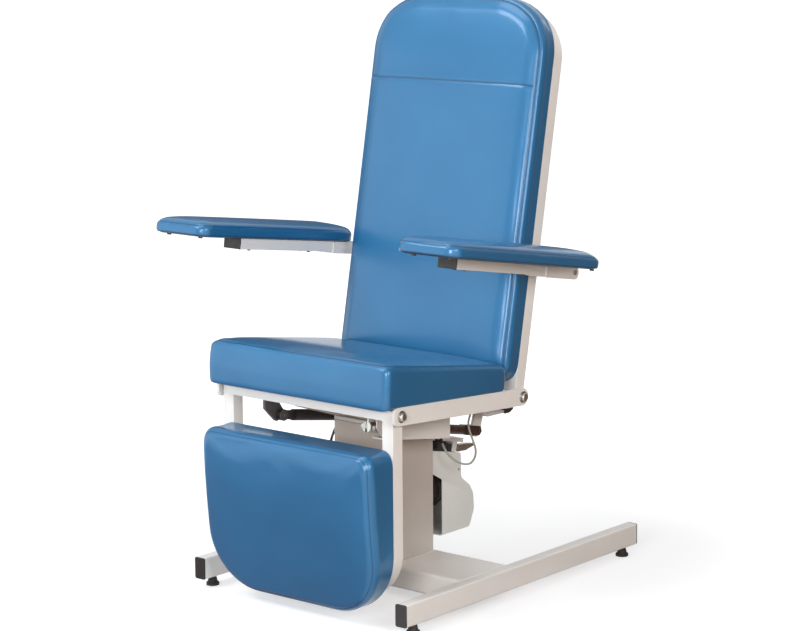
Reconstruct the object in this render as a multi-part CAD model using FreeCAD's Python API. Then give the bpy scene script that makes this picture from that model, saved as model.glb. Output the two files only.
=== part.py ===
import FreeCAD, Part
import math
import os
from FreeCAD import Placement, Rotation, Vector

# Phlebotomy chair: lifting column on two floor rails, tilted seat, reclining
# backrest, legrest that rises with it, and two armrests that fold up.
# Millimetres. +Z up, the sitter faces -Y, the sitter's left side is +X.
# The shapes are drawn about a base frame whose Y = 0 is the middle of the rails.
# Every exported shape is then moved by centre_shift, so that the origin lies on
# the floor under the middle of the whole chair.

# ------------------------------------------------------------ floor base
rail_length = 861.5
rail_height = 50.0
rail_width = 30.0
rail_wall = 2.0
rail_corner = 4.0
rail_outer_x = 312.0
rail_underside = 22.0
cap_flange = 4.0
cap_spigot = 16.0
cap_fit = 0.1
cross_behind_column = 10.0
cross_wall = 3.0
cross_corner = 8.0

# Levelling feet under the rail ends
foot_inset = 42.0
foot_disc_radius = 15.0
foot_disc_height = 7.0
foot_neck_radius = 8.0
foot_gap = 0.3
stud_radius = 5.0
stud_length = 46.0
running_clearance = 0.05

# ------------------------------------------------------------ lifting column
column_size = 160.0
column_front_y = -210.0
column_top_z = 385.0
column_wall = 3.0
column_corner = 4.0
glide_thickness = 5.0
glide_fit = 0.1
glide_height = 60.0
inner_wall = 3.0
inner_above_rails = 24.0
lift_cylinder_radius = 25.0
lift_cylinder_bore = 20.0
lift_rod_radius = 11.0
head_plate_gap = 1.0
head_plate_thickness = 8.0
cheek_thickness = 6.0
cheek_inset = 6.0

# ------------------------------------------------------------ seat frame
front_hinge_y = -378.0
front_hinge_z = 466.0
rear_hinge_y = 49.0
rear_hinge_z = 437.0
bar_outer_x = 260.0
bar_thickness = 8.0
bar_height = 40.0
bar_front_overhang = 23.0
bar_front_corner = 13.0
cross_tube_size = 30.0
cross_tube_wall = 2.0
cross_tube_corner = 3.0
cross_tube_front = 30.0
cross_tube_before_hinge = 166.0
seat_board_thickness = 12.0
board_inset = 12.0
seat_front = -52.0
seat_before_hinge = 65.0
seat_front_height = 100.0
seat_rear_height = 66.0
seat_edge_round = 12.0

# Pivot bolts with their washers
pivot_bolt_radius = 5.0
bolt_head_radius = 10.0
bolt_head_height = 7.0
bolt_head_round = 4.5
nut_height = 8.5
washer_radius = 13.5
washer_thickness = 2.0
spacer_radius = 12.0
spacer_length = 4.3

# ------------------------------------------------------------ backrest
recline = 11.0
frame_tube = 30.0
frame_wall = 2.0
back_depth = 32.0
back_top = 868.5
back_bottom = -16.0
back_corner = 113.0
back_overhang_side = 1.3
back_overhang_top = 21.0
back_cushion_thickness = 54.0
back_cushion_bottom = 27.0
back_cushion_low_corner = 40.0
back_edge_round = 14.0
back_board_thickness = 12.0
lower_bar_bottom = 10.0
lower_bar_top = 40.0

# Levers that hang from the backrest's lower bar
lever_left_x = 145.0
lever_thickness = 8.0
lever_width = 30.0
lever_pin_forward = 29.0
lever_pin_drop = 87.0

# ------------------------------------------------------------ armrests
arm_tilt = {"left": 9.9, "right": 8.0}
arm_from_frame = 38.8
arm_tube_length = 434.0
arm_tube_width = 50.0
arm_tube_height = 25.0
arm_tube_wall = 2.0
arm_pivot_radius = 4.0
saddle_gap = 0.5
saddle_plate = 3.0
saddle_length = 118.0
bridge_height = 20.0
bridge_depth = 24.0
bridge_up = 283.0
arm_behind_bridge = 40.4
arm_below_bridge = 12.1
arm_board_thickness = 7.0
arm_board_inset = 10.0
arm_pad_thickness = 39.5
arm_pad_above_tube = 1.5
arm_pad_width = 165.0
arm_pad_inward = 14.5
arm_pad_front_overhang = 140.0
arm_pad_inner_rear = {"left": -109.0, "right": -62.0}
arm_pad_outer_rear = 0.6
arm_pad_front_corner = 30.0
arm_pad_rear_corner = 40.0
arm_pad_inner_corner = 25.0
arm_pad_edge_round = 12.0
arm_screw_radius = 4.0
arm_nut_radius = 5.0

# ------------------------------------------------------------ legrest
leg_frame_bottom = 56.5
leg_frame_corner = 105.0
leg_crossbar_height = 24.0
leg_crossbar_drop = 12.0
leg_behind_hinge = 17.0
leg_cushion_drop = 62.0
leg_cushion_overhang = 20.5
leg_cushion_low_corner = 127.0
leg_cushion_depth = 80.0
leg_cushion_depth_z = 300.0
leg_cushion_bottom_depth = 50.0
leg_cushion_top_corner = 34.0
leg_board_thickness = 12.0
leg_front_round = 26.0
leg_front_bend = 200.0

# Lug under the legrest crossbar, and the sync link that is pinned to it
lug_x = -125.0
lug_thickness = 7.0
lug_pin_behind_frame = 17.0
lug_pin_drop = 40.0
link_radius = 13.0
link_bore = 10.5
link_eye_width = 12.0
link_side_gap = 0.2
link_neck = 30.0
link_pin_radius = 5.0
fork_length = 44.0
fork_root = 10.0
fork_cheek = 6.0
fork_bolt_radius = 6.0
fork_tip = 8.0
fork_bolt_height = 3.0
fork_side_gap = 2.0

# ------------------------------------------------------------ gas spring
gas_pin_behind_hinge = 30.0
gas_pin_drop = 43.0
gas_lug_thickness = 5.0
gas_pin_radius = 4.0
clevis_radius = 12.0
clevis_front = 10.0
clevis_length = 28.0
gas_rod_radius = 5.0
gas_cylinder_radius = 11.0
gas_cylinder_bore = 8.5
gas_cylinder_start = 110.0
gas_stroke = 76.0
guard_outward = 20.0
guard_inward = 17.0
guard_thickness = 3.0
guard_front_behind_pin = 28.0
guard_rear_before_hinge = 144.0
guard_front_drop = 32.0
guard_rear_drop = 68.0

# ------------------------------------------------------------ drive unit behind the column
bracket_behind_column = 12.0
bracket_thickness = 4.0
cover_half_x = 60.0
cover_wall = 2.0
cover_bottom_z = 92.0
cover_top_front_z = 299.0
cover_top_rear_z = 274.5
cover_front_step = 44.0
cover_shoulder_step = 4.0
cover_neck_step = 114.0
cover_hole_y = 68.0
cover_hole_z = 236.8
cover_hole_radius = 3.2
motor_x = 13.0
motor_z = 198.0
motor_front_step = 26.0
motor_disc_length = 10.0
motor_body_length = 60.5
motor_radius = 39.0
motor_hub_radius = 12.0
motor_ring_radius = 46.0
ring_notches = 24
ring_notch_radius = 2.2
ring_thickness = 7.5

# ------------------------------------------------------------ release controls
paddle_x = 181.0
paddle_width = 28.0
paddle_thickness = 6.0
paddle_before_hinge = 65.0
paddle_below_hinge = 26.0
paddle_knuckle_radius = 6.5
paddle_reach = 94.0
paddle_drop = 21.5
grip_length = 14.0
release_block_x0 = 24.0
cover_gap = 0.4
shelf_x0 = 20.0
shelf_x1 = 58.0
shelf_end = 118.0
shelf_gap = 24.0
shelf_thickness = 10.0
lever_hub_x0 = 46.0
lever_hub_along = 103.0
lever_hub_up = 10.0
lever_hub_radius = 8.5
lever_pin_radius = 3.0
ferrule_radius = 4.5
ferrule_length = 14.0
cable_radius = 2.5
power_cable_radius = 3.0
gland_radius = 6.0
gland_length = 9.0

# ------------------------------------------------------------ values that follow
SIDES = {"left": 1.0, "right": -1.0}
rail_top = rail_underside + rail_height
rail_inner_x = rail_outer_x - rail_width
rail_centre_x = rail_outer_x - rail_width / 2
column_half_x = column_size / 2
column_rear_y = column_front_y + column_size
cross_front_y = column_front_y
cross_rear_y = column_rear_y + cross_behind_column
inner_bottom_z = rail_top + inner_above_rails
head_plate_z = column_top_z + head_plate_gap

bar_inner_x = bar_outer_x - bar_thickness
hinge_span = math.hypot(rear_hinge_y - front_hinge_y, front_hinge_z - rear_hinge_z)
seat_slope = math.degrees(math.asin((front_hinge_z - rear_hinge_z) / hinge_span))
bar_rear_overhang = bar_height / 2
cross_tube_rear = hinge_span - cross_tube_before_hinge
seat_half_x = bar_outer_x
seat_board_half_x = seat_half_x - board_inset
seat_rear = hinge_span - seat_before_hinge

frame_half_x = bar_inner_x - spacer_length
frame_inner_x = frame_half_x - frame_tube
back_cushion_half_x = frame_half_x + back_overhang_side
back_cushion_top = back_top + back_overhang_top
back_cushion_corner = back_corner + back_overhang_top
lever_pin_y = rear_hinge_y - lever_pin_forward
lever_pin_z = rear_hinge_z - lever_pin_drop

arm_tube_x = frame_half_x + arm_from_frame
arm_tube_outer_x = arm_tube_x + arm_tube_width
bridge_y = rear_hinge_y + bridge_up * math.sin(math.radians(recline))
bridge_z = rear_hinge_z + bridge_up * math.cos(math.radians(recline))
arm_rear_y = bridge_y + arm_behind_bridge
arm_rear_z = bridge_z - arm_below_bridge
arm_pad_inner_x = arm_tube_x - arm_pad_inward
arm_pad_outer_x = arm_pad_inner_x + arm_pad_width
arm_pad_front = -arm_tube_length - arm_pad_front_overhang

leg_rear_y = front_hinge_y + leg_behind_hinge
leg_front_y = leg_rear_y - frame_tube
leg_crossbar_underside = front_hinge_z - leg_crossbar_drop
leg_cushion_top = leg_crossbar_underside - leg_cushion_drop
leg_cushion_bottom = leg_frame_bottom - leg_cushion_overhang
leg_cushion_front_y = leg_front_y - leg_cushion_depth
lug_pin_y = leg_rear_y + lug_pin_behind_frame
lug_pin_z = leg_crossbar_underside - lug_pin_drop
link_x = lug_x + lug_thickness / 2 + link_eye_width / 2 + link_side_gap
lever_right_x = link_x

gas_x = lever_left_x
gas_pin_y = front_hinge_y + gas_pin_behind_hinge
gas_pin_z = front_hinge_z - gas_pin_drop
guard_outer_x = gas_x + guard_outward
guard_flange_x = gas_x - guard_inward
guard_front_y = gas_pin_y + guard_front_behind_pin
guard_rear_y = rear_hinge_y - guard_rear_before_hinge
guard_front_z = gas_pin_z - guard_front_drop
guard_rear_z = gas_pin_z - guard_rear_drop

bracket_front_y = column_rear_y + bracket_behind_column
cover_front_y = bracket_front_y + cover_front_step
cover_shoulder_y = bracket_front_y + cover_shoulder_step
cover_neck_y = bracket_front_y + cover_neck_step
cover_slope = math.degrees(math.atan2(cover_top_front_z - cover_top_rear_z,
                                      cover_neck_y - cover_shoulder_y))
motor_front_y = bracket_front_y + motor_front_step
paddle_pivot_y = rear_hinge_y - paddle_before_hinge
paddle_pivot_z = rear_hinge_z - paddle_below_hinge
paddle_bottom_z = paddle_pivot_z - paddle_drop
centre_shift = -(leg_cushion_front_y + rail_length / 2) / 2
parts = {}


# ------------------------------------------------------------ helpers
def block(x0, x1, y0, y1, z0, z1):
    return Part.makeBox(x1 - x0, y1 - y0, z1 - z0, Vector(x0, y0, z0))


def rod_x(x0, x1, y, z, radius):
    return Part.makeCylinder(radius, x1 - x0, Vector(x0, y, z), Vector(1, 0, 0))


def rod_y(y0, y1, x, z, radius):
    return Part.makeCylinder(radius, y1 - y0, Vector(x, y0, z), Vector(0, 1, 0))


def rod_z(z0, z1, x, y, radius):
    return Part.makeCylinder(radius, z1 - z0, Vector(x, y, z0), Vector(0, 0, 1))


def outline(points, radii):
    """Closed face in the local XY plane; each corner is rounded by its own radius."""
    count = len(points)
    if not isinstance(radii, (list, tuple)):
        radii = [radii] * count
    corners = [Vector(p[0], p[1], 0) for p in points]
    starts = []
    edges = []
    for i, corner in enumerate(corners):
        before = (corners[i - 1] - corner).normalize()
        after = (corners[(i + 1) % count] - corner).normalize()
        if radii[i] <= 0:
            starts.append((corner, corner))
            continue
        half = before.getAngle(after) / 2
        back = radii[i] / math.tan(half)
        middle = (before + after).normalize()
        centre = corner + middle * (radii[i] / math.sin(half))
        first = corner + before * back
        last = corner + after * back
        edges.append(Part.Arc(first, centre - middle * radii[i], last).toShape())
        starts.append((first, last))
    for i in range(count):
        leaving = starts[i][1]
        arriving = starts[(i + 1) % count][0]
        if leaving.distanceToPoint(arriving) > 1e-6:
            edges.append(Part.makeLine(leaving, arriving))
    return Part.Face(Part.Wire(Part.__sortEdges__(edges)))


def prism_z(points, z0, z1, radii=0.0):
    """Outline in (x, y), from z0 up to z1."""
    solid = outline(points, radii).extrude(Vector(0, 0, z1 - z0))
    solid.translate(Vector(0, 0, z0))
    return solid


def prism_x(points, x0, x1, radii=0.0):
    """Outline in (y, z), from x0 to x1."""
    solid = outline(points, radii).extrude(Vector(0, 0, x1 - x0))
    solid.Placement = Placement(Vector(x0, 0, 0), Rotation(Vector(1, 1, 1), 120))
    return solid


def prism_y(points, y0, y1, radii=0.0):
    """Outline in (x, z), from y0 to y1."""
    solid = outline(points, radii).extrude(Vector(0, 0, y1 - y0))
    solid.Placement = Placement(Vector(0, y1, 0), Rotation(Vector(1, 0, 0), 90))
    return solid


def rectangle(a0, a1, b0, b1):
    return [(a0, b0), (a1, b0), (a1, b1), (a0, b1)]


def tube_y(x0, x1, y0, y1, z0, z1, wall, corner):
    """Rectangular tube along Y, open at both ends."""
    outer = prism_y(rectangle(x0, x1, z0, z1), y0, y1, corner)
    inner_corner = max(corner - wall, 0.5)
    hole = rectangle(x0 + wall, x1 - wall, z0 + wall, z1 - wall)
    return outer.cut(prism_y(hole, y0 - 1, y1 + 1, inner_corner))


def tube_x(x0, x1, y0, y1, z0, z1, wall, corner):
    """Rectangular tube along X, open at both ends."""
    outer = prism_x(rectangle(y0, y1, z0, z1), x0, x1, corner)
    inner_corner = max(corner - wall, 0.5)
    hole = rectangle(y0 + wall, y1 - wall, z0 + wall, z1 - wall)
    return outer.cut(prism_x(hole, x0 - 1, x1 + 1, inner_corner))


def tube_z(x0, x1, y0, y1, z0, z1, wall, corner):
    """Rectangular tube along Z, open at both ends."""
    outer = prism_z(rectangle(x0, x1, y0, y1), z0, z1, corner)
    inner_corner = max(corner - wall, 0.5)
    hole = rectangle(x0 + wall, x1 - wall, y0 + wall, y1 - wall)
    return outer.cut(prism_z(hole, z0 - 1, z1 + 1, inner_corner))


def tilt(shape, y, z, degrees):
    """Turns a shape drawn level about X, its top going backwards, and puts its origin at (y, z)."""
    turned = shape.copy()
    turned.Placement = Placement(Vector(0, y, z), Rotation(Vector(1, 0, 0), -degrees)).multiply(
        shape.Placement)
    return turned


def on_seat(shape):
    """From the seat's own axes: y runs back from the front hinge, z up from the bars' centreline."""
    return tilt(shape, front_hinge_y, front_hinge_z, seat_slope)


def on_back(shape):
    """From the backrest's own axes: z runs up the frame from the rear hinge, y backwards."""
    return tilt(shape, rear_hinge_y, rear_hinge_z, recline)


def on_arm(shape, side):
    """From one arm's own axes: the tube's rear end is y = 0 and its underside z = 0."""
    return tilt(shape, arm_rear_y, arm_rear_z, arm_tilt[side])


def mirrored(shape, sign):
    if sign > 0:
        return shape
    return shape.mirror(Vector(0, 0, 0), Vector(1, 0, 0))


def seat_height(y, up):
    """Height of a point at base-frame y that stands up above the side bars' centreline."""
    slope = math.radians(seat_slope)
    return front_hinge_z - (y - front_hinge_y) * math.tan(slope) + up / math.cos(slope)


def group(solids):
    return Part.makeCompound(solids)


def add(name, shape):
    moved = shape.copy()
    moved.translate(Vector(0, centre_shift, 0))
    parts[name] = moved


def rounded_solid(solid, radius, keep):
    """Rounds every edge of a pad for which keep(edge) is false."""
    edges = [edge for edge in solid.Edges if not keep(edge)]
    return solid.makeFillet(radius, edges)


# ------------------------------------------------------------ base
def build_base():
    rail_end = rail_length / 2 - cap_flange
    caps = []
    for side, sign in SIDES.items():
        x0, x1 = sorted((sign * rail_inner_x, sign * rail_outer_x))
        rail = tube_y(x0, x1, -rail_end, rail_end, rail_underside, rail_top, rail_wall, rail_corner)
        for end in (-1, 1):
            stud_y = end * (rail_length / 2 - foot_inset)
            rail = rail.cut(rod_z(rail_underside - 1, rail_underside + rail_wall + 1,
                                  sign * rail_centre_x, stud_y, stud_radius + running_clearance))
            gap = rail_wall + cap_fit
            flange = prism_y(rectangle(x0, x1, rail_underside, rail_top),
                             *sorted((end * rail_end, end * (rail_end + cap_flange))), rail_corner)
            flange = flange.makeFillet(1.5, [edge for edge in flange.Edges if
                                             abs(edge.CenterOfMass.y - end * rail_length / 2) < 0.1])
            spigot = prism_y(rectangle(x0 + gap, x1 - gap, rail_underside + gap, rail_top - gap),
                             *sorted((end * (rail_end - cap_spigot), end * rail_end)), rail_corner - gap)
            caps.append(flange.fuse(spigot))
        add("rail_" + side, rail)
    add("rail_end_caps", group(caps))
    add("cross_member", tube_x(-rail_inner_x, rail_inner_x, cross_front_y, cross_rear_y,
                               rail_underside, rail_top, cross_wall, cross_corner))


def build_feet():
    for side, sign in SIDES.items():
        for end, direction in (("front", -1), ("rear", 1)):
            x = sign * rail_centre_x
            y = direction * (rail_length / 2 - foot_inset)
            neck = Part.makeCone(foot_disc_radius - 3, foot_neck_radius,
                                 rail_underside - foot_gap - foot_disc_height,
                                 Vector(x, y, foot_disc_height))
            disc = rod_z(0, foot_disc_height, x, y, foot_disc_radius)
            disc = disc.makeFillet(2.0, [edge for edge in disc.Edges if edge.CenterOfMass.z > 1.0
                                         and edge.Length > foot_disc_radius * 4])
            stud = rod_z(foot_disc_height, stud_length, x, y, stud_radius)
            add("foot_" + end + "_" + side, disc.fuse(neck).fuse(stud))


# ------------------------------------------------------------ column
def build_column():
    outer = tube_z(-column_half_x, column_half_x, column_front_y, column_rear_y,
                   rail_top, column_top_z, column_wall, column_corner)
    add("column_outer", outer)
    step = column_wall + glide_thickness
    glides = []
    for x0, x1 in ((-column_half_x + column_wall, -column_half_x + step),
                   (column_half_x - step, column_half_x - column_wall)):
        for y0 in (column_front_y + column_size / 10, column_rear_y - column_size / 10 - glide_height):
            glides.append(block(x0, x1, y0, y0 + glide_height,
                                column_top_z - glide_height, column_top_z - 2))
    for y0, y1 in ((column_front_y + column_wall, column_front_y + step),
                   (column_rear_y - step, column_rear_y - column_wall)):
        glides.append(block(-glide_height / 2, glide_height / 2, y0, y1,
                            column_top_z - glide_height, column_top_z - 2))
    add("column_glides", group(glides))
    gap = step + glide_fit
    add("column_inner", tube_z(-column_half_x + gap, column_half_x - gap,
                               column_front_y + gap, column_rear_y - gap,
                               inner_bottom_z, head_plate_z, inner_wall, column_corner))
    middle_y = (column_front_y + column_rear_y) / 2
    cylinder_top = head_plate_z - 16
    cylinder = rod_z(rail_top, cylinder_top, 0, middle_y, lift_cylinder_radius)
    cylinder = cylinder.cut(rod_z(rail_top + 6, cylinder_top - 14, 0, middle_y, lift_cylinder_bore))
    cylinder = cylinder.cut(rod_z(cylinder_top - 15, cylinder_top + 1, 0, middle_y,
                                  lift_rod_radius + running_clearance))
    add("lift_cylinder", cylinder)
    rod = rod_z(rail_top + 20, head_plate_z, 0, middle_y, lift_rod_radius)
    piston = rod_z(rail_top + 20, rail_top + 36, 0, middle_y, lift_cylinder_bore - running_clearance)
    add("lift_rod", rod.fuse(piston))


def build_carrier():
    """Head plate on the inner column, with two cheeks up to the seat's cross tubes."""
    plate = prism_z(rectangle(-column_half_x, column_half_x, column_front_y, column_rear_y),
                    head_plate_z, head_plate_z + head_plate_thickness, column_corner)
    plate_top = head_plate_z + head_plate_thickness
    underside = bar_height / 2 - cross_tube_size
    front = front_hinge_y + cross_tube_front
    rear = front_hinge_y + cross_tube_rear + cross_tube_size
    cheeks = []
    for sign in (-1, 1):
        x0, x1 = sorted((sign * (column_half_x - cheek_inset - cheek_thickness),
                         sign * (column_half_x - cheek_inset)))
        cheeks.append(prism_x([(column_front_y + 4, plate_top), (column_rear_y - 4, plate_top),
                               (rear, seat_height(rear, underside) - 14),
                               (rear, seat_height(rear, underside)),
                               (front, seat_height(front, underside)),
                               (front, seat_height(front, underside) - 14)], x0, x1))
    web_y = (column_front_y + column_rear_y) / 2
    web_x = column_half_x - cheek_inset - cheek_thickness
    web = block(-web_x, web_x, web_y - cheek_thickness / 2, web_y + cheek_thickness / 2,
                plate_top, seat_height(web_y, underside) - 2)
    carrier = plate.fuse(cheeks[0]).fuse(cheeks[1]).fuse(web)
    add("seat_carrier", carrier.cut(power_glands()[0][0]))


# ------------------------------------------------------------ seat
def build_seat_frame():
    half = bar_height / 2
    profile = rectangle(-bar_front_overhang, hinge_span + bar_rear_overhang, -half, half)
    corners = [bar_front_corner, half - 0.1, half - 0.1, bar_front_corner]
    hole = pivot_bolt_radius + running_clearance
    for side, sign in SIDES.items():
        x0, x1 = sorted((sign * bar_inner_x, sign * bar_outer_x))
        bar = prism_x(profile, x0, x1, corners)
        for along in (0.0, hinge_span):
            bar = bar.cut(rod_x(x0 - 1, x1 + 1, along, 0, hole))
        add("seat_bar_" + side, on_seat(bar))
    for name, along in (("seat_cross_front", cross_tube_front), ("seat_cross_rear", cross_tube_rear)):
        tube = tube_x(-bar_inner_x, bar_inner_x, along, along + cross_tube_size,
                      half - cross_tube_size, half, cross_tube_wall, cross_tube_corner)
        shape = on_seat(tube)
        middle_y = front_hinge_y + along + cross_tube_size / 2
        underside = seat_height(middle_y, half - cross_tube_size)
        if along == cross_tube_front:
            shape = shape.fuse(gas_spring_lug(underside))
        else:
            shape = shape.fuse(paddle_bracket(middle_y + cross_tube_size / 2, underside))
        add(name, shape)


def gas_spring_lug(tube_underside):
    """Thin plate under the front cross tube, with the pin that carries the gas spring's clevis."""
    tube_front = front_hinge_y + cross_tube_front
    plate = prism_x([(tube_front + 1, tube_underside + 2), (tube_front + 15, tube_underside + 1),
                     (gas_pin_y + 9, gas_pin_z - 7), (gas_pin_y - 2, gas_pin_z - 11),
                     (gas_pin_y - 10, gas_pin_z)],
                    gas_x - gas_lug_thickness / 2, gas_x + gas_lug_thickness / 2, 0.0)
    pin = rod_x(gas_x - clevis_radius - 3, gas_x + clevis_radius + 3, gas_pin_y, gas_pin_z,
                gas_pin_radius)
    head = rod_x(gas_x - clevis_radius - 7, gas_x - clevis_radius - 2, gas_pin_y, gas_pin_z,
                 gas_pin_radius + 3)
    return plate.fuse(pin).fuse(head)


def build_seat():
    half = bar_height / 2
    board = block(-seat_board_half_x, seat_board_half_x, seat_front + board_inset,
                  seat_rear - board_inset, half, half + seat_board_thickness)
    cushion = prism_x([(seat_front, half), (seat_rear, half), (seat_rear, half + seat_rear_height),
                       (seat_front, half + seat_front_height)], -seat_half_x, seat_half_x)
    cushion = rounded_solid(cushion, seat_edge_round, lambda edge: edge.CenterOfMass.z < half + 1)
    add("seat_board", on_seat(board))
    add("seat_cushion", on_seat(cushion.cut(board)))


def build_pivots():
    """Bolts at the front and rear hinges, seen as domed heads on dark washers."""
    bolts = []
    washers = []
    for along in (0.0, hinge_span):
        for sign in (-1, 1):
            head_start = bar_outer_x + washer_thickness
            shank = rod_x(frame_inner_x - nut_height - 0.5, head_start, along, 0, pivot_bolt_radius)
            head = rod_x(head_start, head_start + bolt_head_height, along, 0, bolt_head_radius)
            head = head.makeFillet(bolt_head_round, [edge for edge in head.Edges if
                                         edge.CenterOfMass.x > head_start + bolt_head_height - 1])
            nut = rod_x(frame_inner_x - nut_height - 0.5, frame_inner_x - 0.5, along, 0,
                        bolt_head_radius - 1.5)
            bolts.append(mirrored(shank.fuse(head).fuse(nut), sign))
            hole = rod_x(0, bar_outer_x + 20, along, 0, pivot_bolt_radius + running_clearance)
            washer = rod_x(bar_outer_x, head_start, along, 0, washer_radius)
            spacer = rod_x(frame_half_x + running_clearance, bar_inner_x, along, 0, spacer_radius)
            washers.append(mirrored(washer.cut(hole), sign))
            washers.append(mirrored(spacer.cut(hole), sign))
    add("pivot_bolts", on_seat(group(bolts)))
    add("pivot_washers", on_seat(group(washers)))


# ------------------------------------------------------------ backrest
def ring_outline(half_x, bottom, top, corner):
    return rectangle(-half_x, half_x, bottom, top), [0.0, 0.0, corner, corner]


def build_back_frame():
    """One bent tube, an upside-down U, with a bar welded across its foot."""
    half = back_depth / 2
    outer_points, outer_radii = ring_outline(frame_half_x, back_bottom, back_top, back_corner)
    inner_points, inner_radii = ring_outline(frame_inner_x, back_bottom - 5, back_top - frame_tube,
                                             back_corner - frame_tube)
    frame = prism_y(outer_points, -half, half, outer_radii)
    frame = frame.cut(prism_y(inner_points, -half - 1, half + 1, inner_radii))
    frame = frame.fuse(block(-frame_inner_x, frame_inner_x, -half, half, lower_bar_bottom,
                             lower_bar_top))
    frame = frame.removeSplitter()
    hollow_points, hollow_radii = ring_outline(frame_half_x - frame_wall, back_bottom - 1,
                                               back_top - frame_wall, back_corner - frame_wall)
    core_points, core_radii = ring_outline(frame_inner_x + frame_wall, back_bottom - 5,
                                           back_top - frame_tube + frame_wall,
                                           back_corner - frame_tube + frame_wall)
    hollow = prism_y(hollow_points, -half + frame_wall, half - frame_wall, hollow_radii)
    hollow = hollow.cut(prism_y(core_points, -half, half, core_radii))
    bar_hollow = block(-frame_inner_x - 5, frame_inner_x + 5, -half + frame_wall, half - frame_wall,
                       lower_bar_bottom + frame_wall, lower_bar_top - frame_wall)
    frame = frame.cut(hollow).cut(bar_hollow)
    frame = frame.cut(rod_x(-frame_half_x - 1, frame_half_x + 1, 0, 0,
                            pivot_bolt_radius + running_clearance))
    add("back_frame", on_back(frame))


def build_back_pad():
    front = -back_depth / 2 - back_cushion_thickness
    rear = -back_depth / 2
    board_points = rectangle(-back_cushion_half_x + board_inset, back_cushion_half_x - board_inset,
                             back_cushion_bottom + board_inset, back_cushion_top - board_inset)
    low_corner = back_cushion_low_corner - board_inset
    top_corner = back_cushion_corner - board_inset
    board = prism_y(board_points, rear - back_board_thickness, rear,
                    [low_corner, low_corner, top_corner, top_corner])
    points = rectangle(-back_cushion_half_x, back_cushion_half_x, back_cushion_bottom, back_cushion_top)
    radii = [back_cushion_low_corner] * 2 + [back_cushion_corner] * 2
    cushion = prism_y(points, front, rear, radii)
    cushion = rounded_solid(cushion, back_edge_round,
                            lambda edge: edge.CenterOfMass.y > front + 1)
    add("back_board", on_back(board))
    add("back_cushion", on_back(cushion.cut(board)))


def build_levers():
    """Flat levers from the lower bar down to the pins of the gas spring and of the sync link."""
    turn = math.radians(recline)
    bar_y = rear_hinge_y + lower_bar_bottom * math.sin(turn)
    bar_z = rear_hinge_z + lower_bar_bottom * math.cos(turn)
    run_y = lever_pin_y - bar_y
    run_z = lever_pin_z - bar_z
    length = math.hypot(run_y, run_z)
    side_y = -run_z / length * lever_width / 2
    side_z = run_y / length * lever_width / 2
    past = lever_width / 2 / length
    tip_y = lever_pin_y + run_y * past
    tip_z = lever_pin_z + run_z * past
    profile = [(bar_y - side_y, bar_z - side_z), (bar_y + side_y, bar_z + side_z),
               (tip_y + side_y, tip_z + side_z), (tip_y - side_y, tip_z - side_z)]
    top_cut = on_back(block(-300, 300, -60, 60, lower_bar_bottom, lower_bar_bottom + 60))
    for side, x in (("left", lever_left_x), ("right", lever_right_x)):
        lever = prism_x(profile, x - lever_thickness / 2, x + lever_thickness / 2,
                        [0.0, 0.0, lever_width / 2 - 0.1, lever_width / 2 - 0.1])
        add("back_lever_" + side, lever.cut(top_cut))


# ------------------------------------------------------------ armrests
def arm_plan(side, inset):
    """Outline of an arm pad seen from above: x outwards, y towards the rear."""
    inner_rear = arm_pad_inner_rear[side]
    inner = arm_pad_inner_x + inset
    outer = arm_pad_outer_x - inset
    front = arm_pad_front + inset
    slope = (arm_pad_outer_rear - inner_rear) / (arm_pad_outer_x - arm_pad_inner_x)
    pulled_in = inset * math.hypot(1, slope)
    points = [(inner, front), (outer, front),
              (outer, arm_pad_outer_rear - slope * inset - pulled_in),
              (inner, inner_rear + slope * inset - pulled_in)]
    radii = [arm_pad_front_corner - inset, arm_pad_front_corner - inset,
             arm_pad_rear_corner - inset, arm_pad_inner_corner]
    return points, radii


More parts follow.
